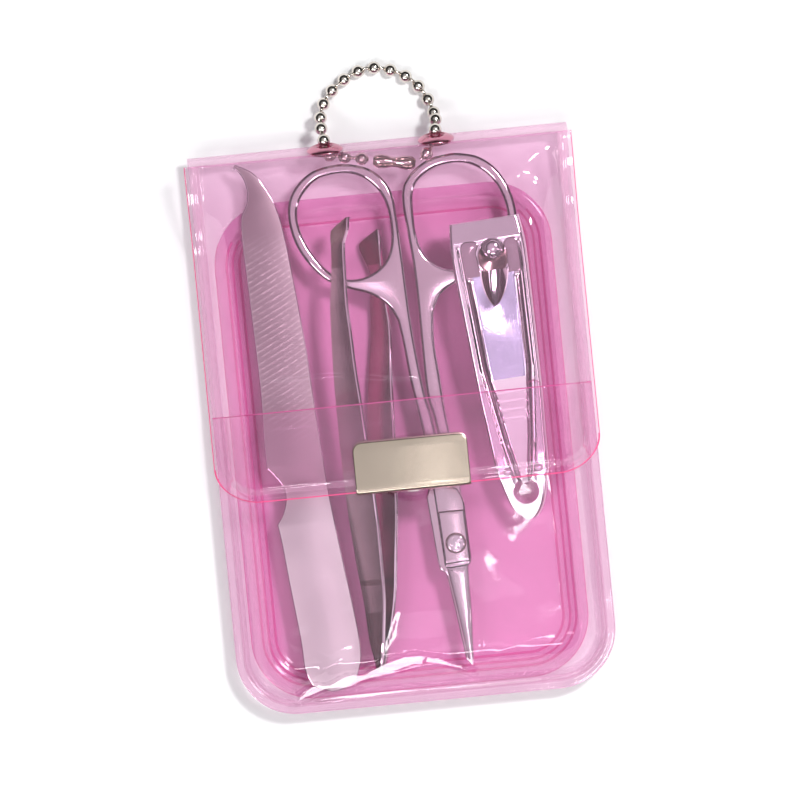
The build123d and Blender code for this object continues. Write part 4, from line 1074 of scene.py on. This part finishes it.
def strip(ys, half, top_fn, thick, roll, n_mid=22, n_edge=6, centre=0.0, low_fn=None):
    """A closed strip along y: half(y) wide each side, top at top_fn(x, y), edges rolled over by roll (width, depth)."""
    ys = np.asarray(ys, float)
    w = half(ys)
    rw, rd = roll
    rows_x, rows_z = [], []
    for yi, wi in zip(ys, w):
        r_ = min(rw, wi * 0.45)
        e = r_ * (1 - np.cos(np.linspace(0, math.pi / 2, n_edge, endpoint=False)))
        pos = np.concatenate([e, np.linspace(r_, 2 * wi - r_, n_mid), 2 * wi - e[::-1]])
        x = pos - wi
        inset = np.minimum(pos, 2 * wi - pos)
        fall = np.where(inset < r_, rd * (1 - np.sqrt(np.maximum(0, 1 - (1 - inset / r_) ** 2))), 0)
        rows_x.append(x + centre)
        rows_z.append(top_fn(x + centre, np.full_like(x, yi)) - fall)
    X, Z = np.array(rows_x), np.array(rows_z)
    Y = np.repeat(ys[:, None], X.shape[1], 1)
    base = np.array([top_fn(x, y) for x, y in zip(X, Y)])
    if rd >= thick:
        raise ValueError("roll deeper than the strip")
    low = base - thick if low_fn is None else np.array([low_fn(x, y) for x, y in zip(X, Y)])
    rows, cols = X.shape
    n = rows * cols
    idx = np.arange(n).reshape(rows, cols)
    a, b, c, d = idx[:-1, :-1].ravel(), idx[:-1, 1:].ravel(), idx[1:, 1:].ravel(), idx[1:, :-1].ravel()
    border = np.concatenate([idx[0, :], idx[1:, -1], idx[-1, -2::-1], idx[-2:0:-1, 0]])
    nxt = np.roll(border, -1)
    verts = np.concatenate([np.stack([X.ravel(), Y.ravel(), Z.ravel()], 1), np.stack([X.ravel(), Y.ravel(), low.ravel()], 1)])
    faces = np.concatenate([np.stack([a, b, c, d], 1), np.stack([d + n, c + n, b + n, a + n], 1), np.stack([border + n, nxt + n, nxt, border], 1)])
    return verts, faces


def punch(ob, holes):
    """Cuts round holes (centre, radius) through a clipper piece."""
    cuts = []
    for (hx, hy), rad, sy_ in holes:
        bm = bmesh.new()
        bmesh.ops.create_cone(bm, cap_ends=True, segments=56, radius1=rad * MM, radius2=rad * MM, depth=30 * MM)
        bm.transform(Matrix.Diagonal((1, sy_, 1, 1)))
        m4 = CLIP.copy()
        m4.translation = CLIP @ Vector((hx, hy, 0)) * MM
        bm.transform(m4)
        me = bpy.data.meshes.new("cut")
        bm.to_mesh(me)
        bm.free()
        cut = bpy.data.objects.new("cut", me)
        bpy.context.collection.objects.link(cut)
        md = ob.modifiers.new("cut", "BOOLEAN")
        md.object, md.operation, md.solver = cut, "DIFFERENCE", "EXACT"
        cuts.append(cut)
    dg_ = bpy.context.evaluated_depsgraph_get()
    me = bpy.data.meshes.new_from_object(ob.evaluated_get(dg_))
    ob.modifiers.clear()
    ob.data = me
    me.set_sharp_from_angle(angle=math.radians(28))
    for cut in cuts:
        bpy.data.objects.remove(cut, do_unlink=True)


ys_leaf = np.concatenate([[-5.0, -4.9, -4.6, -4.2], np.linspace(-3.8, 49.0, 90), [49.4, 49.8, 50.1, 50.4]])


def lower_top(x, y):
    return 1.0 + 0.7 * smooth01((y - 49.2) / 0.3)


low_leaf = Solid()
lv, lf = strip(ys_leaf, leaf_half, lower_top, 0.98, (0.35, 0.3))
low_leaf.add(lv, lf, [0] * len(lf))
# painted reflection: the whole lower leaf takes the whitish tail copy of the chrome
clip_low = low_leaf.make("clipper_leaf_low", [mat_tail_painted_reflection], CLIP)
punch(clip_low, [((0, 0), 2.4, 1.0)])
swap(clip_low, "clipper", "bright_chrome", "clipper_lower_leaf")


lev_y = [3.4, 10.0, 18.0, 23.0, 41.0, 46.2]
lev_w = [1.75, 2.85, 3.9, 4.55, 5.25, 5.4]


def upper_top(x, y):
    z = np.interp(y, [-7, 7, 44, 46.9, 47.3, 50.4], [2.06, 2.06, 4.40, 4.58, 4.55, 4.02])
    hollow = np.hypot((x - 0.5) / 2.9, (y - 43.6) / 3.4)
    beside = np.abs(x) - np.interp(y, lev_y, lev_w) - 0.32
    z = z - 0.15 * np.exp(-((beside / 0.17) ** 2)) * smooth01((y - 1.5) / 2) * smooth01((46.5 - y) / 1.0)
    return z - 0.75 * (1 - smooth01(hollow)) ** 0.8


up_leaf = Solid()
def upper_low(x, y):
    return np.interp(y, [-7, 7, 44, 46.9, 47.3, 50.4], [2.06, 2.06, 4.40, 4.58, 4.55, 4.02]) - 0.96


ys_up = np.concatenate([[-5.0, -4.9, -4.6, -4.2], np.linspace(-3.8, 39.5, 64), np.linspace(39.8, 48.0, 50), [48.6, 49.2, 49.7, 50.1, 50.4]])
uv_, uf_ = strip(ys_up, leaf_half, upper_top, 0.96, (0.6, 0.72), n_mid=84, centre=-0.2, low_fn=upper_low)
up_leaf.add(uv_, uf_, [0] * len(uf_))
clip_up = up_leaf.make("clipper_leaf_up", [mat_chrome], CLIP)
punch(clip_up, [((0, 0), 2.4, 1.0), ((0.6, 45.1), 1.5, 1.2)])
# painted shade: the leaf round the pin, under the lever's bent end, takes the dark copy of the chrome
clip_up.data.materials.append(mat_painted_shade)
inv_clip = CLIP.inverted()
for poly in clip_up.data.polygons:
    q = inv_clip @ (poly.center / MM)
    if q.z > 3.2 and math.hypot((q.x - 0.5) / 2.75, (q.y - 43.4) / 3.0) < 1.0:
        poly.material_index = 1
swap(clip_up, "clipper_upper", "bright_chrome", "clipper_upper_leaf")

rivets = Solid()
for rx in (-2.9, 2.9):
    rivets.turned([(0.46, 0.02), (0.46, 2.07), (0.78, 2.08), (0.8, 2.12), (0.7, 2.19), (0.4, 2.22), (0.05, 2.23)], at=(rx, 4.0, 0), n=24)
swap(rivets.make("clipper_rivet_heads", [mat_chrome], CLIP), "clipper", "bright_chrome", "clipper_rivets")

pin = Solid()
pin.turned([
    (1.7, 0.03), (1.74, 0.1), (1.74, 0.44), (1.1, 0.47), (1.1, 4.9), (1.4, 5.0), (1.84, 5.12), (1.9, 5.3), (1.86, 5.46), (1.72, 5.56),
    (1.6, 5.6), (1.58, 5.72), (1.52, 5.92), (1.38, 6.12), (1.16, 6.27), (0.88, 6.37), (0.56, 6.43), (0.25, 6.455), (0.05, 6.46),
], at=(0.65, 45.1, 0), n=48)
swap(pin.make("clipper_pin_head", [mat_chrome], CLIP, sharp=50), "clipper", "bright_chrome", "clipper_pin")

# lever: plate with a fork of two round-topped prongs, raised chamfered sides, cam nose


def lever_plane(x, y):
    return np.interp(y, [0, 5, 43.5, 48], [3.2, 3.22, 5.40, 5.42])


def lever_low(x, y):
    return lever_plane(x, y) - 0.78


def lever_top(x, y):
    z = lever_plane(x, y)
    half = np.interp(y, lev_y, lev_w)
    groove = sum(0.11 * np.exp(-(((y - g) / 0.26) ** 2)) for g in (13.6, 15.2, 16.8, 18.4))
    z = z - groove * smooth01((0.8 * half - np.abs(x)) / 0.4)
    # a raised rail all round the edge, and a step just inside it
    edge_ = np.where(y < 3.4, 1.75 * (1 - np.hypot(x / 1.75, (3.4 - y) / 1.8)), half - np.abs(x))
    on = smooth01((40.2 - y) / 0.8)
    z = z + on * (0.24 * np.exp(-(((edge_ - 0.62) / 0.20) ** 2)) - 0.12 * np.exp(-(((edge_ - 1.12) / 0.2) ** 2)))
    # shallow thumb dish below the nose
    dish_ = np.hypot((x - 0.5) / 3.0, (y - 34.8) / 3.2)
    return z - 0.20 * np.exp(-(dish_ ** 2))


lever = Solid()


def lever_half(y):
    w = np.interp(y, lev_y, lev_w)
    return np.where(y < 3.4, 1.75 * np.sqrt(np.clip(1 - ((3.4 - y) / 1.8) ** 2, 0.02, 1)), w)


ys_lev = np.concatenate([np.linspace(1.62, 3.4, 14, endpoint=False), np.linspace(3.4, 12.5, 26, endpoint=False), np.linspace(12.5, 19.5, 44, endpoint=False), np.linspace(19.5, 27.0, 14, endpoint=False), np.linspace(27.0, 40.7, 46)])
lv, lf = strip(ys_lev, lever_half, lever_top, 0.78, (0.5, 0.42), n_mid=64, n_edge=6, low_fn=lever_low)
cols_ = 64 + 12
grid_cells = (len(ys_lev) - 1) * (cols_ - 1)
# painted reflection: inside its rail the lever takes the bluish panel copy above y = 21 mm and the whitish tail copy
# below
lm = []
for ci in range(len(lf)):
    if ci < grid_cells:
        r0, c0 = divmod(ci, cols_ - 1)
        hx = abs(float(lv[lf[ci][0]][0]))
        hy = float(lv[lf[ci][0]][1])
        inner_ = hx < float(np.interp(hy, lev_y, lev_w)) - 1.25
        lm.append(1 if inner_ and 21.0 < hy < 40.6 else 4 if inner_ and hy <= 21.0 else 0)
    else:
        lm.append(0)
lever.add(lv, lf, lm)
# fork: two round-topped lobes either side of the pin, bent down a little
fork = Solid()
fork.plate(loop_of([
    spline([(-5.2, 40.2), (-5.25, 43.0), (-5.22, 45.6), (-4.95, 46.5), (-4.3, 46.92), (-3.3, 46.92), (-2.3, 46.7), (-1.75, 46.1), (-2.15, 45.4), (-2.45, 44.5), (-2.35, 43.0), (-2.25, 41.5)], 0.25),
    spline([(-2.25, 41.5), (-1.6, 41.0), (0.4, 40.85), (2.3, 40.85), (2.95, 41.3)], 0.3),
    spline([(2.95, 41.3), (2.95, 42.6), (3.05, 44.4), (2.72, 45.4), (2.95, 46.1), (3.7, 46.6), (4.6, 46.65), (5.25, 46.2), (5.4, 45.4), (5.38, 43.0), (5.3, 40.2)], 0.25),
    straight([(5.3, 40.2), (-5.2, 40.2)], 0.5),
]), [], -0.62, 0.0, top=(0.28, 0.26), low=(0.1, 0.1), edge=0)
fz = float(lever_plane(0, 40.2)) + 0.06
# painted shade: the fork takes the darker fork copy of the chrome
lever.add([(x, y, z + fz - 0.03 * (y - 40.2)) for x, y, z in fork.v], fork.f, [2] * len(fork.f))
# cam nose: a flat ridge between two ground facets
nose = []
for i in range(25):
    t = i / 24
    y = 41.2 - 6.7 * t
    cxn = 0.35 - 0.75 * t
    w = 2.62 * (1 - t ** 1.9) ** 0.72 + 0.03
    h = 2.0 * (1 - t) ** 0.75 + 0.03
    base = float(lever_plane(0, y)) - 0.25
    row = []
    for a, hh in ((-1.0, 0.27), (-0.95, 0.33), (-0.90, 0.34), (-0.44, 0.95), (-0.37, 1.0), (0.0, 1.05), (0.30, 1.0), (0.38, 0.95), (0.90, 0.34), (0.95, 0.33), (1.0, 0.27)):
        row.append((cxn + a * w, y, base + 0.25 + (h * hh if hh > 0.35 else 0.30 * min(1.0, h))))
    row.append((cxn + w, y, base))
    row.append((cxn - w, y, base))
    nose.append(row)
# painted shade: the nose's left facet takes the dark copy of the chrome, its right facet the darker fork copy
lever.tube(nose, [0, 0, 3, 0, 0, 0, 0, 2, 0, 0, 0, 0, 0])
swap(lever.make("clipper_lever_arm", [mat_chrome, mat_panel_painted_reflection, mat_fork_painted_shade, mat_painted_shade, mat_tail_painted_reflection], CLIP, sharp=26), "clipper_lever", "bright_chrome", "clipper_lever")

# ------------------------------------------------------------------ clasp plate
clasp = Solid()
PX0, PX1, PY0, PY1 = -9.9, 11.1, -12.05, -3.25


def round_top(x0, x1, y0, y1, r_):
    pts = [(x0, y0), (x1, y0)]
    pts += [(x1 - r_ + r_ * math.cos(a), y1 - r_ + r_ * math.sin(a)) for a in np.linspace(0, math.pi / 2, 9)]
    pts += [(x0 + r_ + r_ * math.cos(a), y1 - r_ + r_ * math.sin(a)) for a in np.linspace(math.pi / 2, math.pi, 9)]
    return straight(pts + [pts[0]], 0.8)[:-1]


clasp.plate(round_top(PX0, PX1, PY0, PY1, 1.6), [], 15.2, 15.65, top=(0.22, 0.16), low=(0.05, 0.05), seg=3, face=0, edge=0)
clasp.plate(round_top(PX0, PX1, PY0, -2.97, 1.6), [], 14.22, 14.62, top=(0.05, 0.05), low=(0.1, 0.1), seg=2, face=0, edge=0)
fold = []
for x in [PX0, PX0 + 0.08, PX0 + 0.25] + list(np.linspace(PX0 + 0.6, PX1 - 0.6, 30)) + [PX1 - 0.25, PX1 - 0.08, PX1]:
    e = min(x - PX0, PX1 - x)
    sh = 0.12 * max(0, 1 - e / 0.25)
    row = [(x, PY0 + 0.3, 15.64 - sh)]
    for a in np.linspace(90, 270, 13):
        row.append((x, PY0 + (0.69 - sh) * math.cos(math.radians(a)), 14.935 + (0.712 - sh) * math.sin(math.radians(a))))
    row.append((x, PY0 + 0.3, 14.23 + sh))
    row.append((x, PY0 + 0.3, 14.60))
    for a in np.linspace(270, 90, 7):
        row.append((x, PY0 + 0.28 * math.cos(math.radians(a)), 14.91 + 0.30 * math.sin(math.radians(a))))
    row.append((x, PY0 + 0.3, 15.21))
    fold.append(row)
clasp.tube(fold, 0)
plate_ob = swap(clasp.make("clasp_leaf", [mat_plate], sharp=30), "flap", "satin_plate", "clasp_plate")

# ------------------------------------------------------------------ chain
route = [
    (-9.6, 51.68, 7.68), (-9.6, 52.88, 8.04), (-10.0, 54.93, 5.82), (-9.92, 56.88, 3.48), (-9.18, 59.54, 2.18), (-7.3, 61.86, 1.55),
    (-4.85, 63.66, 1.32), (-2.1, 64.97, 1.24), (0.93, 65.36, 1.22), (3.86, 64.52, 1.22), (6.58, 63.13, 1.22), (8.76, 61.01, 1.24),
    (10.24, 58.35, 1.45), (10.99, 55.66, 2.7), (11.18, 54.61, 5.55), (10.85, 52.88, 8.04), (10.85, 51.68, 7.68),
]
cu = bpy.data.curves.new("chain_line", "CURVE")
cu.dimensions = "3D"
sp = cu.splines.new("NURBS")
sp.points.add(len(route) - 1)
for pt, q in zip(sp.points, route):
    pt.co = (q[0] * MM, q[1] * MM, q[2] * MM, 1)
sp.order_u = 3
sp.use_endpoint_u = True
sp.resolution_u = 24
line_ob = bpy.data.objects.new("chain_line", cu)
bpy.context.collection.objects.link(line_ob)
dg = bpy.context.evaluated_depsgraph_get()
line_me = bpy.data.meshes.new_from_object(line_ob.evaluated_get(dg))
line_pts = np.array([v.co[:] for v in line_me.vertices]) / MM
bpy.data.objects.remove(line_ob, do_unlink=True)
seg_len = np.linalg.norm(np.diff(line_pts, axis=0), axis=1)
arc = np.concatenate([[0], np.cumsum(seg_len)])
chain_len = float(arc[-1])


def along(d):
    return np.array([np.interp(d, arc, line_pts[:, i]) for i in range(3)])


def closed_ring(solid, profile, at, axis, n=40, mat=0):
    """A turned ring: the profile of (radius, height) closes on itself."""
    q = Vector(axis).to_track_quat("Z", "Y")
    rings_ = []
    for r_, h in profile + profile[:1]:
        row_ = []
        for j in range(n):
            a = 2 * math.pi * j / n
            p = q @ Vector((r_ * math.cos(a), r_ * math.sin(a), h))
            row_.append((p.x + at[0], p.y + at[1], p.z + at[2]))
        rings_.append(row_)
    solid.tube(rings_, mat, caps=False)


def bead(solid, c, axis, r_=1.2, n=24):
    """A hollow ball pressed from strip: a faint seam, and a small lip round each wire hole."""
    prof = [(0.40, -r_ * 0.99), (0.44, -r_ * 0.955)]
    for a in np.linspace(-66, 66, 15):
        rr = r_ * (1 - (0.012 if abs(a) < 5 else 0))
        prof.append((rr * math.cos(math.radians(a)), rr * math.sin(math.radians(a))))
    prof += [(0.44, r_ * 0.955), (0.40, r_ * 0.99)]
    solid.turned(prof, at=tuple(c), axis=tuple(axis), n=n)


def neck(solid, a, b, r_=0.36, n=10):
    """A wire link, waisted in the middle, with a head inside each ball."""
    a, b = np.array(a), np.array(b)
    d = b - a
    ln = float(np.linalg.norm(d))
    prof = [(r_ * 1.1, 0), (r_, ln * 0.12), (r_ * 0.86, ln * 0.5), (r_, ln * 0.88), (r_ * 1.1, ln)]
    solid.turned(prof, at=tuple(a), axis=tuple(d / ln), n=n)


count = 15
pitch = 3.02
first = (chain_len - pitch * (count - 1)) / 2
loop_s = Solid()
cs = []
for i in range(count):
    d = first + pitch * i
    p = along(d)
    ax = along(min(chain_len, d + 0.8)) - along(max(0, d - 0.8))
    ax /= np.linalg.norm(ax)
    bead(loop_s, p, ax)
    cs.append((p, ax))
for (p, ax), (q, bx_) in zip(cs, cs[1:]):
    neck(loop_s, p + ax * 1.12, q - bx_ * 1.12)
neck(loop_s, along(0.0), cs[0][0] - cs[0][1] * 1.12)
neck(loop_s, cs[-1][0] + cs[-1][1] * 1.12, along(chain_len))
chain_ob = swap(loop_s.make("chain_loop_run", [mat_chain], sharp=60), "chain_loop", "chain_nickel", "chain_loop_balls", "chain_loop_links")

# inner run behind the film: balls, wire links and the folded coupling
inner_pts = [(-9.6, 50.55, 7.35), (-8.85, 49.75, 7.5), (-6.1, 49.15, 7.75), (-3.0, 48.55, 7.95), (-0.9, 47.95, 8.0)]
inner_right = [(6.9, 46.75, 8.0), (8.9, 48.3, 7.8), (10.85, 50.5, 7.35)]
inner = Solid()
for c, nxt in zip(inner_pts[1:4], inner_pts[2:5]):
    ax = np.subtract(nxt, c)
    bead(inner, c, ax / np.linalg.norm(ax))
ax = np.subtract(inner_right[2], inner_right[1])
bead(inner, inner_right[1], ax / np.linalg.norm(ax))
for run in (inner_pts, inner_right):
    for p, q in zip(run, run[1:]):
        p, q = np.array(p, float), np.array(q, float)
        d = (q - p) / np.linalg.norm(q - p)
        neck(inner, p + d * 0.9, q - d * 0.9)
A_, B_ = np.array([-1.0, 47.95, 8.0]), np.array([6.7, 46.75, 8.0])
ax = (B_ - A_) / np.linalg.norm(B_ - A_)
side_v = np.array([-ax[1], ax[0], 0.0])
up_v = np.array([0.0, 0.0, 1.0])
length_ = float(np.linalg.norm(B_ - A_))
rings = []
for t, r_, open_ in ((0.0, 0.75, 40), (0.03, 1.0, 42), (0.10, 1.28, 48), (0.2, 1.34, 52), (0.3, 1.26, 50), (0.42, 1.02, 46), (0.5, 0.95, 44), (0.58, 1.02, 46), (0.7, 1.26, 50), (0.8, 1.34, 52), (0.9, 1.28, 48), (0.97, 1.0, 42), (1.0, 0.75, 40)):
    c = A_ + ax * length_ * t
    row = []
    angles = np.radians(np.linspace(90 + open_, 90 + 360 - open_, 22))
    for a in angles:
        row.append(tuple(c + side_v * r_ * math.cos(a) + up_v * r_ * math.sin(a)))
    for a in angles[::-1]:
        row.append(tuple(c + side_v * (r_ - 0.22) * math.cos(a) + up_v * (r_ - 0.22) * math.sin(a)))
    rings.append(row)
inner.tube(rings, 0)
swap(inner.make("chain_inner_run", [mat_chain], sharp=50), "case", "chain_nickel", "chain_inner_balls", "chain_inner_links", "chain_connector")

# eyelets: domed outer flange, barrel through the film, curled washer inside
eyes = Solid()
for ex in (-9.6, 10.85):
    closed_ring(eyes, [
        (1.30, -0.95), (1.28, 0.1), (1.34, 0.5), (1.5, 0.74), (1.8, 0.86), (2.15, 0.80), (2.7, 0.56), (3.12, 0.30), (3.33, 0.12),
        (3.35, 0.02), (2.9, -0.01), (1.9, -0.02), (1.88, -0.40), (2.6, -0.42), (2.75, -0.5), (2.7, -0.64), (2.3, -0.78), (1.8, -0.95), (1.5, -1.02),
    ], (ex, 50.77 + 0.06, 7.4), (0, n_out[0], n_out[1]), n=48)
swap(eyes.make("eyelet_pair", [mat_eyelet], sharp=40), "case", "eyelet_metal", "eyelet_left", "eyelet_right", "eyelet_washers")

# ------------------------------------------------------------------ stage
bpy.ops.mesh.primitive_plane_add(size=3.0, location=(0, 0, -0.00002))
floor = bpy.context.object
floor.name = "floor"
fm = Nodes("floor_white")
fb = fm.add("ShaderNodeBsdfPrincipled", {"Base Color": (0.95, 0.95, 0.95, 1), "Roughness": 0.8})
fb.inputs["Specular IOR Level"].default_value = 0.1
fm.link(fm.ramp(fm.noise(30.0, 2.0, 0.5), [(0.3, (0.945, 0.945, 0.945)), (0.7, (0.955, 0.955, 0.955))]), fb.inputs["Base Color"])
fm.link(fb.outputs[0], fm.out.inputs["Surface"])
floor.data.materials.append(fm.mat)


def area(name, at, target, size, energy, size_y=None, colour=(1, 1, 1)):
    ld = bpy.data.lights.new(name, "AREA")
    ld.shape = "RECTANGLE"
    ld.size = size
    ld.size_y = size_y or size
    ld.energy = energy
    ld.color = colour
    lo = bpy.data.objects.new(name, ld)
    bpy.context.collection.objects.link(lo)
    lo.location = at
    lo.rotation_euler = (Vector(target) - Vector(at)).to_track_quat("-Z", "Y").to_euler()
    return lo


area("key", (0.30, 0.22, 0.62), (0, 0, 0), 0.11, 2.95)
area("box_left", BOX_LEFT, (-0.01, -0.04, 0), 0.15, 0.85)
area("box_low_left", (-0.52, -0.46, 0.62), (0, 0, 0), 0.26, 0.75, size_y=0.16)
area("box_right", (0.56, -0.16, 0.52), (0, 0, 0), 0.07, 0.34, size_y=0.5)
area("strip_front", STRIP_FRONT, (0, 0, 0), 0.30, 0.82, size_y=0.075)
area("ceiling_panel", (0.02, -0.180, 1.05), (0, 0, 0), 0.20, 0.072, size_y=0.21, colour=(0.88, 0.94, 1.0))
area("ceiling_spot", (0.088, -0.118, 1.0), (0.02, 0.02, 0), 0.07, 0.20)

# The room: pale all round. Mirrors see a mid-tone ceiling that falls to a dark skirting.
world = bpy.data.worlds.new("studio")
bpy.context.scene.world = world
world.use_nodes = True
wt = world.node_tree
bg = wt.nodes["Background"]
tc = wt.nodes.new("ShaderNodeTexCoord")
sep = wt.nodes.new("ShaderNodeSeparateXYZ")
wt.links.new(tc.outputs["Generated"], sep.inputs[0])
rp = wt.nodes.new("ShaderNodeValToRGB")
stops = [(0.0, 0.02), (0.35, 0.03), (0.66, 0.08), (0.84, 0.35), (0.94, 0.61), (1.0, 0.67)]
els = rp.color_ramp.elements
while len(els) < len(stops):
    els.new(0.5)
for el, (pos, val) in zip(els, stops):
    el.position, el.color = pos, (val, val, val * 1.03, 1)
wt.links.new(sep.outputs["Z"], rp.inputs["Fac"])
lp = wt.nodes.new("ShaderNodeLightPath")
mx = wt.nodes.new("ShaderNodeMixRGB")
mx.inputs[1].default_value = (0.325, 0.33, 0.34, 1)
wt.links.new(lp.outputs["Is Glossy Ray"], mx.inputs[0])
wt.links.new(rp.outputs["Color"], mx.inputs[2])
wt.links.new(mx.outputs[0], bg.inputs["Color"])
bg.inputs["Strength"].default_value = 1.0

sc = bpy.context.scene
sc.view_settings.view_transform = "Standard"
sc.view_settings.look = "None"
sc.cycles.transparent_max_bounces = 64
sc.cycles.max_bounces = 16
